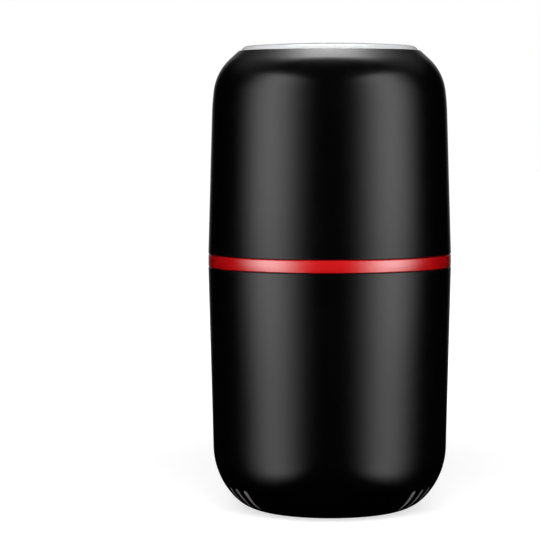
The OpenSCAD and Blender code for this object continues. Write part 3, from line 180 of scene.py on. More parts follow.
def lathe(name, loop, segments=SEGMENTS, at=None):
    """A closed loop of (radius, height) in millimetres, turned about the Z axis."""
    bm = bmesh.new()
    angles = [360 * k / segments for k in range(segments)]
    rings = []
    for r, z in loop:
        if r < ON_AXIS:
            rings.append([bm.verts.new((0, 0, z * MM))] * segments)
        else:
            rings.append([bm.verts.new((r * cos(a) * MM, r * sin(a) * MM, z * MM)) for a in angles])
    for i in range(len(rings)):
        a, b = rings[i], rings[(i + 1) % len(rings)]
        for k in range(segments):
            m = (k + 1) % segments
            corners = []
            for v in (a[k], a[m], b[m], b[k]):
                if v not in corners:
                    corners.append(v)
            if len(corners) > 2:
                bm.faces.new(corners)
    return finish_mesh(name, bm, at=at)


def soft_corners(loop, r=EDGE_ROUND, steps=3):
    """Rounds each corner of a closed loop that turns by 25 degrees or more and lies off the axis."""
    out, n = [], len(loop)
    for i in range(n):
        p0, p1, p2 = (Vector(loop[(i + k) % n]) for k in (-1, 0, 1))
        u, v = p0 - p1, p2 - p1
        has_corner = min(u.length, v.length) > 1e-9 and p1[0] > ON_AXIS
        bend = 180 - math.degrees(u.angle(v)) if has_corner else 0
        if bend < 25:
            out.append(tuple(p1))
            continue
        d = min(r * math.tan(math.radians(bend) / 2), 0.45 * u.length, 0.45 * v.length)
        a, b = p1 + u.normalized() * d, p1 + v.normalized() * d
        for k in range(steps + 1):
            t = k / steps
            out.append(tuple((1 - t) ** 2 * a + 2 * t * (1 - t) * p1 + t * t * b))
    return out


def between(name, low, top, at):
    """A solid between two outlines that have the same number of points, given in millimetres."""
    bm = bmesh.new()
    low, top = ([bm.verts.new([c * MM for c in p]) for p in outline] for outline in (low, top))
    bm.faces.new(low[::-1])
    bm.faces.new(top)
    for k in range(len(low)):
        m = (k + 1) % len(low)
        bm.faces.new((low[k], low[m], top[m], top[k]))
    return finish_mesh(name, bm, at=at)


def prism(name, outline, z0, z1, at=None):
    """An outline of (x, y), carried from z0 to z1."""
    return between(name, [(x, y, z0) for x, y in outline], [(x, y, z1) for x, y in outline], at)


def wedge(name, outline, x0, x1, x_true, at):
    """An outline of (y, z), carried along X from x0 to x1; it is true at x_true and narrows in proportion
    towards the axis."""
    return between(name, *([(x, y * x / x_true, z) for y, z in outline] for x in (x0, x1)), at)


def modified(obj, sharp=SHARP):
    """Applies the modifiers of an object to its mesh."""
    dg = bpy.context.evaluated_depsgraph_get()
    dg.update()
    mesh = bpy.data.meshes.new_from_object(obj.evaluated_get(dg))
    obj.modifiers.clear()
    old = obj.data
    obj.data = mesh
    bpy.data.meshes.remove(old)
    smooth(obj, sharp)
    return obj


def boolean(obj, cutters, operation="DIFFERENCE"):
    for cutter in cutters:
        m = obj.modifiers.new("cut", "BOOLEAN")
        m.object, m.operation, m.solver = cutter, operation, "EXACT"
    bpy.context.view_layer.update()
    modified(obj)
    for cutter in cutters:
        bpy.data.objects.remove(cutter)


def bevelled(obj, width, angle, sharp=SHARP):
    """Rounds the edges of an object that turn by more than angle."""
    edge = obj.modifiers.new("edge", "BEVEL")
    edge.width, edge.segments = width * MM, 2
    edge.limit_method, edge.angle_limit = "ANGLE", math.radians(angle)
    return modified(obj, sharp)


def join(name, objs):
    bm = bmesh.new()
    for o in objs:
        bm.from_mesh(o.data)
        bpy.data.objects.remove(o)
    return new_object(name, bm)


def turn(angle, r=0.0, z=0.0):
    """Moves a piece out to a radius and up to a height, and then turns it about the Z axis."""
    return Matrix.Rotation(math.radians(angle), 4, "Z") @ Matrix.Translation(Vector((r, 0, z)) * MM)


def softened(node, width):
    """A copy of a CAD node with small rounds on its edges."""
    angle = 35.0
    bm = bmesh.new()
    bm.from_mesh(nodes[node].data)
    bmesh.ops.remove_doubles(bm, verts=bm.verts, dist=1e-6)
    bmesh.ops.dissolve_limit(bm, angle_limit=math.radians(1.0), verts=bm.verts, edges=bm.edges)
    return bevelled(finish_mesh(node + "_body", bm, angle), width, angle, angle)


def tube(name, points, r):
    """A round wire along a list of points in millimetres, closed at both ends."""
    sides = 10
    bm = bmesh.new()
    pts = [Vector(p) for p in points]
    rings = []
    u = None
    for i, p in enumerate(pts):
        t = (pts[min(i + 1, len(pts) - 1)] - pts[max(i - 1, 0)]).normalized()
        if u is None:
            u = t.orthogonal().normalized()
        u = (u - t * u.dot(t)).normalized()
        v = t.cross(u)
        rings.append([bm.verts.new((p + r * (u * cos(360 * k / sides) + v * sin(360 * k / sides))) * MM)
                      for k in range(sides)])
    for a, b in zip(rings, rings[1:]):
        for k in range(sides):
            m = (k + 1) % sides
            bm.faces.new((a[k], a[m], b[m], b[k]))
    bm.faces.new(rings[0][::-1])
    bm.faces.new(rings[-1])
    return finish_mesh(name, bm, sharp=50)


# ---------------------------------------------------------------- node helpers
def only(nt, kind):
    """The one node of a kind in a tree."""
    return next(n for n in nt.nodes if n.type == kind)


def new_material(name):
    m = bpy.data.materials.new(name)
    m.use_nodes = True
    nt = m.node_tree
    nt.nodes.clear()
    out = nt.nodes.new("ShaderNodeOutputMaterial")
    bsdf = nt.nodes.new("ShaderNodeBsdfPrincipled")
    nt.links.new(bsdf.outputs[0], out.inputs[0])
    return m, nt, bsdf


def coords(nt, scale=(1, 1, 1)):
    tc = nt.nodes.new("ShaderNodeTexCoord")
    mp = nt.nodes.new("ShaderNodeMapping")
    mp.inputs["Scale"].default_value = scale
    nt.links.new(tc.outputs["Object"], mp.inputs["Vector"])
    return mp.outputs[0]


def xyz(nt, kind):
    """The three parts of a texture coordinate."""
    tc = nt.nodes.new("ShaderNodeTexCoord")
    sep = nt.nodes.new("ShaderNodeSeparateXYZ")
    nt.links.new(tc.outputs[kind], sep.inputs[0])
    return sep.outputs


def calc(nt, op, *values):
    """A math node on numbers and sockets."""
    n = nt.nodes.new("ShaderNodeMath")
    n.operation = op
    for i, v in enumerate(values):
        if isinstance(v, (int, float)):
            n.inputs[i].default_value = v
        else:
            nt.links.new(v, n.inputs[i])
    return n.outputs[0]


def fade(nt, value, a, b, low=0.0, high=1.0, kind="SMOOTHSTEP"):
    """A step from low to high as a value goes from a to b, smooth unless kind is LINEAR."""
    n = nt.nodes.new("ShaderNodeMapRange")
    n.interpolation_type = kind
    for key, number in (("From Min", a), ("From Max", b), ("To Min", low), ("To Max", high)):
        n.inputs[key].default_value = number
    nt.links.new(value, n.inputs["Value"])
    return n.outputs[0]


def ramp(nt, fac, low, high, a=0.3, b=0.7):
    """Maps a factor between a and b to two numbers or two colours."""
    if isinstance(low, (int, float)):
        return fade(nt, fac, a, b, low, high, "LINEAR")
    n = nt.nodes.new("ShaderNodeValToRGB")
    for element, position, color in zip(n.color_ramp.elements, (a, b), (low, high)):
        element.position, element.color = position, (*color, 1)
    nt.links.new(fac, n.inputs[0])
    return n.outputs[0]


def noise(nt, vector, scale, detail=3.0, rough=0.5):
    n = nt.nodes.new("ShaderNodeTexNoise")
    n.inputs["Scale"].default_value = scale
    n.inputs["Detail"].default_value = detail
    n.inputs["Roughness"].default_value = rough
    nt.links.new(vector, n.inputs["Vector"])
    return n.outputs[0]


def bands(nt, vector, pitch, way):
    """A wave texture in bands across one axis, at a pitch in metres."""
    n = nt.nodes.new("ShaderNodeTexWave")
    n.wave_type, n.bands_direction = "BANDS", way
    n.inputs["Scale"].default_value = 0.314 / pitch
    nt.links.new(vector, n.inputs["Vector"])
    return n


def bump(nt, bsdf, height, distance):
    b = nt.nodes.new("ShaderNodeBump")
    b.inputs["Strength"].default_value = 1.0
    b.inputs["Distance"].default_value = distance
    nt.links.new(height, b.inputs["Height"])
    nt.links.new(b.outputs[0], bsdf.inputs["Normal"])


def shade(c, k):
    return tuple(min(1.0, x * k) for x in c)


# ---------------------------------------------------------------- materials
def ring_coords(nt):
    """Coordinates that run round the Z axis, so that a noise is drawn out into rings: a full turn counts as
    a length of around, and a metre along the radius or up as a length of across."""
    full_turn, around, across = 6.283, 20.0, 4000.0
    x, y, z = xyz(nt, "Object")
    radius = calc(nt, "SQRT", calc(nt, "ADD", calc(nt, "MULTIPLY", x, x), calc(nt, "MULTIPLY", y, y)))
    com = nt.nodes.new("ShaderNodeCombineXYZ")
    nt.links.new(calc(nt, "MULTIPLY", radius, across), com.inputs[0])
    nt.links.new(calc(nt, "MULTIPLY", calc(nt, "ARCTAN2", y, x), around / full_turn), com.inputs[1])
    nt.links.new(calc(nt, "MULTIPLY", z, across), com.inputs[2])
    return com.outputs[0]


def plastic(name, color, rough, depth, vary=0.12, rough_vary=0.03, grain=2600.0, spec=0.5, coat=0.0,
            ior=1.5):
    """Moulded plastic or rubber: a fine grain, with slow changes of colour and gloss."""
    m, nt, bsdf = new_material(name)
    v = coords(nt)
    slow = noise(nt, v, 60.0)
    nt.links.new(ramp(nt, slow, shade(color, 1 - vary), shade(color, 1 + vary)), bsdf.inputs["Base Color"])
    gloss = noise(nt, v, 220.0)
    nt.links.new(ramp(nt, gloss, rough - rough_vary, rough + rough_vary), bsdf.inputs["Roughness"])
    bsdf.inputs["Specular IOR Level"].default_value = spec
    bsdf.inputs["IOR"].default_value = ior
    bsdf.inputs["Coat Weight"].default_value = coat
    bsdf.inputs["Coat Roughness"].default_value = rough
    bump(nt, bsdf, noise(nt, v, grain, 2.0), depth)
    return m


def metal(name, color, rough, way="ring", vary=0.08, depth=1.5e-6):
    """Metal with fine tool lines round the axis or along X, or the even grain of a casting."""
    m, nt, bsdf = new_material(name)
    if way == "ring":
        lines = noise(nt, ring_coords(nt), 1.0, 4.0, 0.65)
    else:
        scale = {"x": (0.02, 1, 1), "cast": (1, 1, 1)}[way]
        lines = noise(nt, coords(nt, scale), 2600.0, 4.0, 0.65)
    nt.links.new(ramp(nt, lines, shade(color, 1 - vary), shade(color, 1 + vary)), bsdf.inputs["Base Color"])
    nt.links.new(ramp(nt, lines, rough - 0.06, rough + 0.06), bsdf.inputs["Roughness"])
    bsdf.inputs["Metallic"].default_value = 1.0
    bump(nt, bsdf, lines, depth)
    return m


def banded(name, color, rough, pitch, metallic, depth):
    """Rows of wire or sheets, stacked along Z at a pitch in metres."""
    m, nt, bsdf = new_material(name)
    v = coords(nt)
    w = bands(nt, v, pitch, "Z")
    w.wave_profile = "SIN"
    w.inputs["Distortion"].default_value = 0.6
    w.inputs["Detail"].default_value = 1.0
    nt.links.new(ramp(nt, w.outputs[1], shade(color, 0.35), color, 0.1, 0.6), bsdf.inputs["Base Color"])
    nt.links.new(ramp(nt, noise(nt, v, 900.0), rough - 0.05, rough + 0.05), bsdf.inputs["Roughness"])
    bsdf.inputs["Metallic"].default_value = metallic
    bump(nt, bsdf, w.outputs[1], depth)
    return m


def clear_plastic(name, color, rough, clearness):
    m, nt, bsdf = new_material(name)
    v = coords(nt)
    nt.links.new(ramp(nt, noise(nt, v, 25.0), color, shade(color, 1.02)), bsdf.inputs["Base Color"])
    nt.links.new(ramp(nt, noise(nt, v, 400.0), rough, rough + 0.03), bsdf.inputs["Roughness"])
    bsdf.inputs["Transmission Weight"].default_value = clearness
    bsdf.inputs["IOR"].default_value = 1.49
    bsdf.inputs["Specular IOR Level"].default_value = 0.25
    bump(nt, bsdf, noise(nt, v, 60.0, 1.0), 4.0e-6)
    return m


def mesh_screen(name, color, pitch):
    """A fine woven screen: two sets of threads that cross each other, both at 45 degrees."""
    m, nt, bsdf = new_material(name)
    v = coords(nt)
    waves = []
    for way in ("X", "Y"):
        rot = nt.nodes.new("ShaderNodeMapping")
        rot.inputs["Rotation"].default_value = (0, 0, math.radians(45))
        nt.links.new(v, rot.inputs["Vector"])
        waves.append(bands(nt, rot.outputs[0], pitch, way).outputs[1])
    threads = calc(nt, "MAXIMUM", *waves)
    nt.links.new(ramp(nt, threads, shade(color, 0.45), color, 0.5, 0.9), bsdf.inputs["Base Color"])
    nt.links.new(ramp(nt, noise(nt, v, 300.0), 0.5, 0.65), bsdf.inputs["Roughness"])
    bump(nt, bsdf, threads, 8.0e-5)
    return m


black = plastic("body_black", (0.0004, 0.0004, 0.00045), 0.22, rough_vary=0.015, spec=0.47, depth=0.8e-6)
red = plastic("band_red", (0.58, 0.0010, 0.0028), 0.17, vary=0.03, rough_vary=0.02, grain=700.0, depth=1.0e-6,
              spec=1.0, coat=0.6, ior=1.68)
clear = clear_plastic("cup_clear", (0.94, 0.95, 0.96), rough=0.1, clearness=0.4)
inner_black = plastic("inner_black", (0.02, 0.02, 0.021), 0.48, grain=1800.0, depth=6e-6)
screen_grey = mesh_screen("screen_grey", (0.34, 0.34, 0.345), pitch=0.0006)
rubber = plastic("rubber_black", (0.022, 0.022, 0.023), 0.72, vary=0.2, grain=1500.0, depth=8e-6)
seal = plastic("seal_brown", (0.16, 0.05, 0.03), 0.6, vary=0.15, grain=1500.0, depth=5e-6)
steel_sheet = metal("steel_sheet", (0.62, 0.61, 0.60), 0.24)
blade_steel = metal("blade_steel", (0.66, 0.65, 0.64), 0.22, "x")
steel_part = metal("steel_part", (0.52, 0.52, 0.53), 0.3, "cast", vary=0.12)
shaft_steel = metal("shaft_steel", (0.55, 0.55, 0.56), 0.25)
core_steel = banded("core_steel", (0.30, 0.30, 0.31), 0.5, pitch=0.0006, metallic=0.8, depth=4e-5)
alloy = metal("bracket_alloy", (0.55, 0.55, 0.56), 0.45, "cast", vary=0.15, depth=2e-5)
bronze = metal("bronze", (0.45, 0.26, 0.11), 0.42, "cast", vary=0.2, depth=8e-6)
copper_wire = banded("copper_wire", (0.50, 0.19, 0.08), 0.3, pitch=0.0006, metallic=0.6, depth=1.5e-4)
copper = metal("copper", (0.62, 0.26, 0.12), 0.26, vary=0.12)
brass = metal("brass_part", (0.62, 0.44, 0.17), 0.3, "cast", vary=0.1)
carbon = plastic("carbon", (0.035, 0.035, 0.037), 0.55, vary=0.25, grain=3000.0, depth=8e-6)
white = plastic("plastic_white", (0.66, 0.65, 0.60), 0.42, vary=0.05, grain=1600.0, depth=4e-6)
switch_black = plastic("switch_black", (0.03, 0.03, 0.034), 0.45, grain=2000.0, depth=5e-6)
switch_red = plastic("switch_red", (0.45, 0.015, 0.015), 0.35, grain=2000.0, depth=3e-6)
yellow = plastic("capacitor_yellow", (0.55, 0.37, 0.05), 0.35, vary=0.1, grain=900.0, depth=6e-6)
wire_blue = plastic("wire_blue", (0.02, 0.05, 0.28), 0.5, vary=0.15, grain=1200.0, depth=5e-6)

# the finish of each node of the solids
CAD_FINISH = {
    "vent_screen": screen_grey, "chassis": inner_black, "chassis_screws": steel_part,
    "bowl_gasket": rubber, "shaft_seal": seal, "upper_bracket": alloy, "upper_bearing": bronze,
    "lower_bracket": alloy, "lower_bearing": bronze, "stator_core": core_steel, "coil_bobbins": white,
    "field_coils": copper_wire, "motor_screws": steel_part, "motor_mount_screws": steel_part,
    "brush_holders": brass, "carbon_brushes": carbon, "brush_springs": steel_part,
    "thermal_fuse": white, "suppression_capacitor": yellow, "lead_wires": wire_blue,
    "switch_body": switch_black, "switch_terminals": brass, "switch_screws": steel_part,
    "motor_shaft": shaft_steel, "armature_core": core_steel, "armature_windings": copper_wire,
    "commutator": copper, "thrust_washer": white, "cooling_fan": white, "switch_lever": steel_part,
    "switch_plunger": switch_red, "bottom_cover": inner_black, "bottom_cover_screws": steel_part,
    "rubber_feet": rubber, "cord_gland": rubber, "base_shell": black, "band_ring": red,
    "grinding_bowl": steel_sheet, "bowl_nut": steel_part, "blade_hub": inner_black,
    "blade": blade_steel, "blade_nut": steel_part, "push_rod": white, "lid_shell": black,
    "lid_retainer": inner_black, "retainer_screws": steel_part, "press_cup": clear,
    "cup_gasket": rubber, "cup_springs": steel_part, "push_rod_spring": steel_part,
}


def paint(obj, material):
    obj.data.materials.clear()
    obj.data.materials.append(material)


def place(obj, material, body, slot, *replaced):
    """Gives a piece its finish, its body and the nodes that it stands for."""
    paint(obj, material)
    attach(obj, body)
    if replaced:
        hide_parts(*replaced)


for name, obj in nodes.items():
    paint(obj, CAD_FINISH[name])
    smooth(obj, 30.0)

# ---------------------------------------------------------------- base shell
outer, inner = base_curve(0, 2), base_curve(WALL)
rim_r, shelf_z = BOTTOM_R + BOTTOM_RIM_W, COVER_TOP + WALL
sliver = 0.001  # keeps the inner corner at the top apart from the end of the inner curve
base_loop = [(BOTTOM_R, COVER_TOP), (BOTTOM_R, FLOOR_Z), (BASE_C2[0], FLOOR_Z)] + outer[1:]
base_loop += [(BODY_R, BASE_TOP - SEAM_EDGE), (BODY_R - SEAM_EDGE, BASE_TOP),
              (BODY_R - WALL - sliver, BASE_TOP)]
base_loop += inner[::-1]
base_loop += [(rim_r, inner[0][1]), (rim_r, shelf_z), (LEDGE_IN_R, shelf_z), (LEDGE_IN_R, COVER_TOP)]
base_shell = lathe("base_body", soft_corners(base_loop), SHELL_SEGMENTS)
# each vent slot runs out through the underside and has an arched top
half, below = VENT_W / 2, -1.0
vent_out_r = BASE_C1[0] + math.sqrt(BASE_ROUND_R ** 2 - (BASE_C1[1] - VENT_TOP) ** 2)
vent = ([(-half, below), (half, below)]
        + [(half * cos(t), VENT_TOP - half + half * sin(t)) for t in range(0, 181, 12)])
cutters = []
for side in (0, 180):
    for k in range(VENTS):
        angle = side + (k - (VENTS - 1) / 2) * VENT_PITCH
        cutters.append(wedge("vent_cut", vent, VENT_R, BODY_R, vent_out_r, turn(angle)))
# stepped hole for the cord gland, from inside the wall to outside it
inside, outside = 36, 50
gland_hole = [(0, inside), (GLAND_BORE_R, inside), (GLAND_BORE_R, GLAND_Y), (GLAND_SEAT_R, GLAND_Y),
              (GLAND_SEAT_R, outside), (0, outside)]
lay_back = Matrix.Translation(Vector((0, 0, GLAND_Z)) * MM) @ Matrix.Rotation(math.radians(-90), 4, "X")
cutters.append(lathe("gland_cut", gland_hole, 64, lay_back))
boolean(base_shell, [join("base_cuts", cutters)])
bevelled(base_shell, 0.18, 40)
place(base_shell, black, "base", "body_black", "base_shell")

# ---------------------------------------------------------------- band
band_loop = [(BAND_IN_R, BASE_TOP), (BODY_R - SEAM_EDGE, BASE_TOP), (BODY_R, BASE_TOP + SEAM_EDGE),
             (BODY_R, BAND_TOP - SEAM_EDGE), (BODY_R - SEAM_EDGE, BAND_TOP), (BAND_IN_R, BAND_TOP)]
band = lathe("band_body", soft_corners(band_loop, 0.15), SHELL_SEGMENTS)
place(band, red, "base", "band_red", "band_ring")

# ---------------------------------------------------------------- lid
outer, inner = lid_curve(0, 2), lid_curve(WALL)
slope_in_z = inner[-1][1] + (inner[-1][0] - WINDOW_R) / tan(SHOULDER_TO)
lid_loop = [(BODY_R - WALL, LID_Z0), (BODY_R - SEAM_EDGE, LID_Z0), (BODY_R, LID_Z0 + SEAM_EDGE)]
lid_loop += outer + arc(FILLET_C, LID_FILLET, SHOULDER_TO, 90, 8)
lid_loop += [(WINDOW_R, slope_in_z)] + inner[::-1]
lid_shell = lathe("lid_body", soft_corners(lid_loop), SHELL_SEGMENTS)
boolean(lid_shell, [prism("key_cut", rect(-KEY_HALF_W, -KEY_OUT, KEY_HALF_W, -KEY_IN), LID_Z0 - 1, NECK_TOP)])
place(lid_shell, black, "lid", "body_black", "lid_shell")
posts = []
for a in RETAINER_ANGLES:
    post = soft_corners(rect(POST_BORE_R, POST_Z, POST_R, POST_TOP), 0.1)
    posts.append(lathe("post", post, SMALL_SEGMENTS, turn(a, POST_PC)))
    rib = rect(RIB_IN, -RIB_HALF_W, RIB_OUT, RIB_HALF_W)
    posts.append(prism("rib", rib, POST_Z, POST_TOP, turn(a, POST_PC)))
place(join("lid_posts", posts), black, "lid", "body_black")

# ---------------------------------------------------------------- clear cup
lead_in = 0.2  # short straight step before each curve of the wall
edge_z, flat_r = CAP_TOP - CAP_DOME, CAP_R - CAP_FILLET
dome_r = (flat_r ** 2 + CAP_DOME ** 2) / (2 * CAP_DOME)
dome_to = math.degrees(math.asin(flat_r / dome_r))
cup_out = [(r, z) for r, z in lid_curve(WALL + CUP_GAP) if r < CUP_OUT_R]
z_out = cup_out[-1][1] + (cup_out[-1][0] - CAP_R) / tan(SHOULDER_TO)
cup_loop = [(CUP_R, CUP_RIM_Z), (CUP_OUT_R, CUP_RIM_Z), (CUP_OUT_R, cup_out[0][1] - lead_in)] + cup_out
cup_loop += [(CAP_R, z_out)] + arc((flat_r, edge_z - CAP_FILLET), CAP_FILLET, 0, 90 - dome_to, 8)
cup_loop += arc((0, CAP_TOP - dome_r), dome_r, 90 - dome_to, 90, 14)[1:]
ceiling = CAP_TOP - CAP_DOME - WINDOW_T
cup_in = [(r, z) for r, z in lid_curve(WALL + CUP_GAP + CUP_WALL) if r < CUP_R and z < ceiling]
top_r = cup_in[-1][0] - (ceiling - cup_in[-1][1]) * tan(SHOULDER_TO)
cup_loop += [(0, ceiling), (top_r, ceiling)] + cup_in[::-1] + [(CUP_R, cup_in[0][1] - lead_in)]
cup = lathe("cup_body", soft_corners(cup_loop, 0.3, 4))
lug = rect(CUP_OUT_R - CUP_WALL / 2, -LUG_W / 2, LUG_R, LUG_W / 2)
cup_parts = [prism("lug", lug, LUG_Z, LUG_Z + LUG_T, turn(a)) for a in LUG_ANGLES]
cup_parts.append(lathe("pad", rect(0, PAD_Z, PAD_R, LUG_Z + LUG_T / 2), 48, turn(90, ROD_Y)))
boolean(cup, cup_parts, "UNION")
place(cup, clear, "cup", "cup_clear", "press_cup")

# ---------------------------------------------------------------- bowl
round_c = (BOWL_R - BOWL_ROUND, BOWL_Z + BOWL_ROUND + BOWL_T)
bowl_out_r, rim_r, rim_top = BOWL_R + BOWL_T, BOWL_R + BOWL_RIM_W, NECK_TOP + BOWL_T
bowl_loop = [(BOWL_HOLE_R, BOWL_Z + BOWL_T), (BOWL_HOLE_R, BOWL_Z)]
bowl_loop += arc(round_c, BOWL_ROUND + BOWL_T, -90, 0, 20)
bowl_loop += [(bowl_out_r, NECK_TOP - BOWL_LIP_DROP), (bowl_out_r + 0.1, NECK_TOP), (rim_r, NECK_TOP),
              (rim_r, rim_top)]
bowl_loop += arc((BOWL_R + BOWL_LIP_R, rim_top - BOWL_LIP_R), BOWL_LIP_R, 90, 180, 8)
bowl_loop += arc(round_c, BOWL_ROUND, 0, -90, 20)
bowl = lathe("bowl_body", soft_corners(bowl_loop))
place(bowl, steel_sheet, "base", "steel_sheet", "grinding_bowl")

# ---------------------------------------------------------------- blade
# a strip with bent ends, seen from the side, then cut to its plan
half_t, half_w = BLADE_T / 2, BLADE_W / 2
bend_x, in_x, out_x = 0.55 * BLADE_R, 0.82 * BLADE_R, 0.865 * BLADE_R
mitre, run, rise = half_t * tan(BLADE_BEND / 2), BLADE_R * cos(BLADE_BEND), BLADE_R * sin(BLADE_BEND)
strip = [(bend_x + mitre, -half_t), (bend_x + mitre + run, rise - half_t),
         (bend_x - mitre + run, rise + half_t), (bend_x - mitre, half_t),
         (-bend_x - mitre, half_t), (-bend_x - mitre - run, half_t - rise),
         (-bend_x + mitre - run, -half_t - rise), (-bend_x + mitre, -half_t)]
upright = Matrix.Translation(Vector((0, 0, BLADE_Z)) * MM) @ Matrix.Rotation(math.radians(90), 4, "X")
blade = prism("blade_body", strip, -BLADE_W, BLADE_W, upright)
plan = [(in_x, -half_w), (BLADE_R, half_w / 2), (out_x, half_w),
        (-in_x, half_w), (-BLADE_R, -half_w / 2), (-out_x, -half_w)]
under_all, over_all, under_hub, over_hub = 60, 110, 80, 92
boolean(blade, [prism("plan", plan, under_all, over_all)], "INTERSECT")
# the hole, and on each arm a cut that leaves a ground edge: its outline lies across the arm
cutters = [lathe("hole", rect(0, under_hub, BLADE_HOLE_R, over_hub), 64)]
grind = [(5.75, -0.65), (3.4, 0.78), (4.0, 2.2), (7.5, 2.2), (7.5, -0.65)]
grind_from, grind_to = 0.6, 16
along_arm = Matrix(((0, 0, 1, 0), (1, 0, 0, 0), (0, 1, 0, 0), (0, 0, 0, 1)))
for side, lean in ((0, -BLADE_BEND), (180, BLADE_BEND)):
    seat = turn(side) @ Matrix.Translation(Vector((bend_x, 0, BLADE_Z)) * MM)
    seat = seat @ Matrix.Rotation(math.radians(lean), 4, "Y") @ along_arm
    cutters.append(prism("grind", grind, grind_from, grind_to, seat))
boolean(blade, cutters)
bevelled(blade, 0.08, 25, 25)
place(blade, blade_steel, "rotor", "steel_sheet", "blade")


# ---------------------------------------------------------------- screws with a cross recess
def screw(at, head_r, head_h, length, flat):
    """A screw that points up from z = 0, where the outer face of its head lies; flat is countersunk."""
    tip_l, tip_in, edge_in, edge_h, crown_h = 1, 0.6, 0.1, 0.15, head_h * 0.6
    shank = [(SCREW_R, head_h), (SCREW_R, length - tip_l), (SCREW_R - tip_in, length), (0, length)]
    if flat:
        head = [(0, 0), (head_r - edge_in, 0), (head_r, edge_h)]
    else:
        crown = [(head_r * sin(t), crown_h * (1 - cos(t))) for t in range(20, 91, 14)]
        head = [(0, 0)] + crown + [(head_r, head_h)]
    obj = lathe("screw", head + shank, SMALL_SEGMENTS)
    reach, half_slot, outside, depth = head_r * 0.62, 0.26, -0.5, head_h * 0.55
    for a in (20, 110):
        recess = rect(-reach, -half_slot, reach, half_slot)
        boolean(obj, [prism("cross", recess, outside, depth, turn(a))])
    obj.data.transform(at)
    return obj


def screws(name, places, **size):
    return join(name, [screw(at, **size) for at in places])


cover_screws = screws("cover_screws", [turn(a, COVER_SCREW_PC, FLOOR_Z) for a in COVER_SCREW_ANGLES],
                      head_r=2.6, head_h=1.8, length=WALL + COVER_BITE, flat=True)
place(cover_screws, steel_part, "base", "steel_part", "bottom_cover_screws")
lid_screws = screws("lid_screws", [turn(a, POST_PC, RETAINER_Z) for a in RETAINER_ANGLES],
                    head_r=2.2, head_h=1.1, length=RETAINER_T + RETAINER_BITE, flat=True)
place(lid_screws, steel_part, "lid", "steel_part", "retainer_screws")
flip = Matrix.Rotation(math.pi, 4, "X")
head_top = DECK_TOP + PAN_HEAD_H
deck_screws = screws("deck_screws", [turn(a, DECK_SCREW_PC, head_top) @ flip for a in DECK_SCREW_ANGLES],
                     head_r=2.6, head_h=PAN_HEAD_H, length=PAN_HEAD_H + DECK_T + DECK_BITE, flat=False)
place(deck_screws, steel_part, "base", "steel_part", "chassis_screws")


# ---------------------------------------------------------------- springs
def coil(r, z0, z1, turns, wire_r):
    """Points of a coil spring between two faces; its first and last turn close up."""
    steps, close_up = 28, 0.35 * 0.75 / 2.2
    z0, z1 = z0 + wire_r + TOUCH_GAP, z1 - wire_r - TOUCH_GAP
    out = []
    for k in range(turns * steps + 1):
        t = k / (turns * steps)
        rise = t - close_up / turns * math.sin(2 * math.pi * t)
        out.append((r * cos(360 * k / steps), r * sin(360 * k / steps), z0 + (z1 - z0) * rise))
    return out


for a in SPRING_ANGLES:
    spring = tube("cup_spring", coil(CUP_SPRING_R, POST_Z, LUG_Z, CUP_TURNS, CUP_WIRE_R), CUP_WIRE_R)
    spring.data.transform(turn(a, CUP_SPRING_PC))
    place(spring, steel_part, "lid", "steel_part", "cup_springs")
    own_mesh(spring)
spring = tube("rod_spring", coil(ROD_SPRING_R, DECK_TOP, COLLAR_Z, ROD_TURNS, ROD_WIRE_R), ROD_WIRE_R)
spring.data.transform(turn(90, ROD_Y))
place(spring, steel_part, "base", "steel_part", "push_rod_spring")
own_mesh(spring)

# ---------------------------------------------------------------- solids with softer edges
# the width of the rounds is in millimetres; wider ones would cross over each other on the narrow gasket
for node, width, body, slot in (
        ("bowl_nut", 0.3, "base", "steel_part"), ("blade_nut", 0.25, "rotor", "steel_part"),
        ("blade_hub", 0.3, "rotor", "inner_black"), ("bottom_cover", 0.2, "base", "inner_black"),
        ("rubber_feet", 0.3, "base", "rubber_black"), ("cord_gland", 0.3, "base", "rubber_black"),
        ("lid_retainer", 0.15, "lid", "inner_black"), ("push_rod", 0.2, "rod", "plastic_white"),
        ("cup_gasket", 0.12, "cup", "rubber_black"), ("chassis", 0.15, "base", "inner_black")):
    place(softened(node, width), CAD_FINISH[node], body, slot, node)

# ---------------------------------------------------------------- studio, in metres and degrees
IMAGE_W, FOCAL_PX, SENSOR_W = 540, 2470.3, 36
CAMERA_AT, LOOK_DOWN, LOOK_LEFT, ROLL = (0, -0.9775, 0.1556), 3.517, 1.377, 0.1
WORLD_FILL, WHITE = 0.08, 1.0
FLOOR_GREY, FLOOR_GLOW, GLOW_FROM, GLOW_TO = 0.55, 0.72, 0.12, 0.45
CLOTH_GREY, CLOTH_R, CLOTH_HOLE_R, CLOTH_Z, CLOTH_BACK, CLOTH_UPPER = 0.004, 2.2, 0.02, 0.0003, 0.35, 0.3

camera = bpy.data.objects.new("camera", bpy.data.cameras.new("camera"))
scene.collection.objects.link(camera)
scene.camera = camera
camera.location = CAMERA_AT
camera.rotation_euler = (math.radians(90 - LOOK_DOWN), math.radians(ROLL), math.radians(LOOK_LEFT))
camera.data.sensor_width = SENSOR_W
camera.data.lens = FOCAL_PX / IMAGE_W * SENSOR_W
camera.data.clip_start = 0.01

scene.view_settings.view_transform = "Standard"


def seen_rays(nt):
    """1 for the rays that show the background: camera, reflection and transmission."""
    rays = nt.nodes.new("ShaderNodeLightPath").outputs
    total = calc(nt, "ADD", rays["Is Camera Ray"], rays["Is Glossy Ray"])
    return calc(nt, "MINIMUM", calc(nt, "ADD", total, rays["Is Transmission Ray"]), 1.0)


def mixed(nt, share, first, second):
    """Two shaders in one: a share of 0 is all the first and 1 all the second."""
    mix = nt.nodes.new("ShaderNodeMixShader")
    for value, socket in zip((share, first, second), mix.inputs):
        nt.links.new(value, socket)
    return mix.outputs[0]


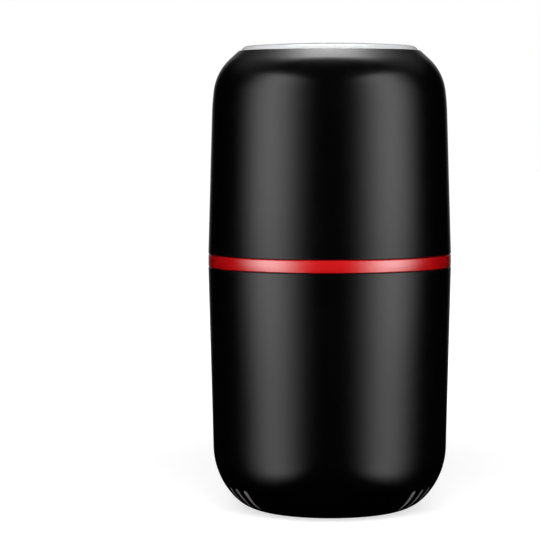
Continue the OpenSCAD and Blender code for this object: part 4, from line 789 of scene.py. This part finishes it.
def matte(name, grey, rough):
    m, nt, bsdf = new_material(name)
    bsdf.inputs["Base Color"].default_value = (grey, grey, grey, 1)
    bsdf.inputs["Roughness"].default_value = rough
    bsdf.inputs["Specular IOR Level"].default_value = 0.0
    return m, nt, bsdf


# plain white where the background is seen, and a weak fill for the object
world = bpy.data.worlds.new("studio")
scene.world = world
world.use_nodes = True
nt = world.node_tree
nt.nodes.clear()
out = nt.nodes.new("ShaderNodeOutputWorld")
fills = []
for strength in (WORLD_FILL, WHITE):
    fill = nt.nodes.new("ShaderNodeBackground")
    fill.inputs[0].default_value = (1, 1, 1, 1)
    fill.inputs[1].default_value = strength
    fills.append(fill.outputs[0])
nt.links.new(mixed(nt, seen_rays(nt), *fills), out.inputs[0])

# floor: pale, with a share of plain white that grows away from the object
bm = bmesh.new()
bmesh.ops.create_grid(bm, x_segments=1, y_segments=1, size=6.0)
floor = finish_mesh("floor", bm)
m, nt, bsdf = matte("floor_pale", FLOOR_GREY, 0.9)
away = nt.nodes.new("ShaderNodeVectorMath")
away.operation = "LENGTH"
nt.links.new(coords(nt), away.inputs[0])
glow = nt.nodes.new("ShaderNodeEmission")
strength = fade(nt, away.outputs["Value"], GLOW_FROM, GLOW_TO, FLOOR_GLOW, WHITE)
nt.links.new(calc(nt, "MULTIPLY", strength, seen_rays(nt)), glow.inputs["Strength"])
both = nt.nodes.new("ShaderNodeAddShader")
nt.links.new(bsdf.outputs[0], both.inputs[0])
nt.links.new(glow.outputs[0], both.inputs[1])
nt.links.new(both.outputs[0], only(nt, "OUTPUT_MATERIAL").inputs[0])
paint(floor, m)

# black cloth round the object, seen only in reflections: it keeps the dark gloss dark. It is a dome on a
# disc with a small hole; it lets a share of the pale background through in a strip right behind the
# object, and another high up in its back half. from_back is an angle in radians
m, nt, bsdf = matte("cloth_black", CLOTH_GREY, 1.0)
x, y, z = xyz(nt, "Object")
from_back = calc(nt, "ARCTAN2", calc(nt, "ABSOLUTE", x), y)
high_up = fade(nt, z, 0.9, 2.0, 0.0, CLOTH_UPPER)
upper = calc(nt, "MULTIPLY", high_up, fade(nt, from_back, 0.9, 1.9, 1.0, 0.0))
share = calc(nt, "MAXIMUM", fade(nt, from_back, 0.14, 0.45, CLOTH_BACK, 0.0), upper)
through = nt.nodes.new("ShaderNodeBsdfTransparent").outputs[0]
nt.links.new(mixed(nt, share, bsdf.outputs[0], through), only(nt, "OUTPUT_MATERIAL").inputs[0])
bm = bmesh.new()
rows = []
for r, z in ([(CLOTH_HOLE_R, CLOTH_Z), (CLOTH_R, CLOTH_Z)]
             + [(CLOTH_R * cos(e), CLOTH_R * sin(e)) for e in (*range(9, 82, 9), 89)]):
    rows.append([bm.verts.new((r * cos(k), r * sin(k), z)) for k in range(0, 360, 6)])
for low, high in zip(rows, rows[1:]):
    for k in range(len(low)):
        bm.faces.new((low[k - 1], low[k], high[k], high[k - 1]))
cloth = finish_mesh("cloth", bm)
paint(cloth, m)
cloth.visible_camera = cloth.visible_diffuse = cloth.visible_transmission = cloth.visible_shadow = False


# ---------------------------------------------------------------- lamps
def lamp(name, where, aim, width, height, radiance, use):
    """A softbox with even radiance, whatever its size; use is what it lights, gloss or colour."""
    data = bpy.data.lights.new(name, "AREA")
    data.shape, data.size, data.size_y = "RECTANGLE", width, height
    data.energy = radiance * math.pi * width * height
    obj = bpy.data.objects.new(name, data)
    scene.collection.objects.link(obj)
    obj.location = where
    obj.rotation_euler = (Vector(aim) - Vector(where)).to_track_quat("-Z", "Y").to_euler()
    if use == "gloss":
        obj.visible_diffuse = False
    else:
        obj.visible_glossy = obj.visible_transmission = False
    return obj


def shaped(obj, middle):
    """Opens a lamp's nodes: its tree, and its two coordinates in metres, with the second one
    counted on from middle."""
    obj.data.use_nodes = True
    nt = obj.data.node_tree
    u, v, _ = xyz(nt, "UV")
    across = calc(nt, "MULTIPLY", calc(nt, "SUBTRACT", u, 0.5), obj.data.size)
    along = calc(nt, "ADD", calc(nt, "MULTIPLY", calc(nt, "SUBTRACT", v, 0.5), obj.data.size_y), middle)
    return nt, across, along


def bell(nt, x, spread):
    ratio = calc(nt, "DIVIDE", x, spread)
    return calc(nt, "EXPONENT", calc(nt, "MULTIPLY", calc(nt, "MULTIPLY", ratio, ratio), -0.5))


def glow_with(nt, *shares):
    total = shares[0]
    for share in shares[1:]:
        total = calc(nt, "MULTIPLY", total, share)
    nt.links.new(total, only(nt, "EMISSION").inputs["Strength"])


def off_front(side, azimuth, r=1.0, z=0.0):
    """A point at a radius and an azimuth from the front, to the left (side -1) or to the right (side 1)."""
    return Vector((side * r * sin(azimuth), -r * cos(azimuth), z))


# two tall boxes at the sides, with panels on the floor below them that carry their light on down to
# the foot of the object; all fade away from their middle line in a bell of BELL degrees
BOX_R, BOX_W, BOX_H, BOX_RADIANCE, BOX_SPREAD, BELL = 1.2, 2.4, 1.5, 2.8, 0.02, 16.3
BOX_DARK_Z, BOX_FULL_Z = 1.4, 1.12
LEFT_BOX, RIGHT_BOX, PANEL_TURN = 57.0, 58.8, 1.5
BODY_EDGE, PANEL_Z, PANEL_RADIANCE, PANEL_SPREAD = 0.048, 0.002, 1.95, 0.006
PANEL_DARK, PANEL_FULL = 0.008, 0.036
PANELS = ((0.006, 0.07), (0.07, 0.3), (0.3, BOX_R - 0.042))
for side, azimuth in ((-1, LEFT_BOX), (1, RIGHT_BOX)):
    middle = Vector((0, 0, BOX_H / 2))
    box = lamp("side_box", where=off_front(side, azimuth) * BOX_R + middle, aim=middle,
               width=BOX_W, height=BOX_H, radiance=BOX_RADIANCE, use="gloss")
    nt, across, height = shaped(box, BOX_H / 2)
    glow_with(nt, bell(nt, across, BOX_R * tan(BELL) + BOX_SPREAD), fade(nt, height, BOX_DARK_Z, BOX_FULL_Z))
    azimuth -= PANEL_TURN
    toward = off_front(side, azimuth)
    start = off_front(side, azimuth / 2, BODY_EDGE, PANEL_Z)
    for near, far in PANELS:
        middle = (near + far) / 2
        width = 6 * (far * tan(BELL) + PANEL_SPREAD)
        panel = lamp("floor_panel", where=start + toward * middle, aim=(0, 0, 0),
                     width=width, height=far - near, radiance=PANEL_RADIANCE, use="gloss")
        panel.rotation_euler = (math.radians(180), 0, math.radians(side * azimuth))
        nt, across, along = shaped(panel, middle)
        spread = calc(nt, "ADD", calc(nt, "MULTIPLY", along, tan(BELL)), PANEL_SPREAD)
        glow_with(nt, bell(nt, across, spread), fade(nt, along, PANEL_DARK, PANEL_FULL))
# a box above and behind, that faces down; it fades at its front, at its back and to both sides
TOP_Z, TOP_W, TOP_DEPTH, TOP_RADIANCE, TOP_SPREAD = 1.34, 2.0, 1.5, 11.0, 0.25
top_y = TOP_DEPTH / 2 - 0.1
top = lamp("top_box", where=(0, top_y, TOP_Z), aim=(0, top_y, 0), width=TOP_W, height=TOP_DEPTH,
           radiance=TOP_RADIANCE, use="gloss")
top.rotation_euler = (0, 0, 0)
nt, across, back = shaped(top, top_y)
glow_with(nt, bell(nt, across, TOP_SPREAD), fade(nt, back, -0.06, 0.2), fade(nt, back, 1.4, 0.5))
# even light for the colours
for name, where, radiance in (("front_light", (0, -1.4, 0.9), 7.1), ("back_light", (0, 1.2, 1.5), 1.0)):
    lamp(name, where, aim=(0, 0, 0.1), width=1.4, height=1.0, radiance=radiance, use="colour")

bpy.context.view_layer.update()
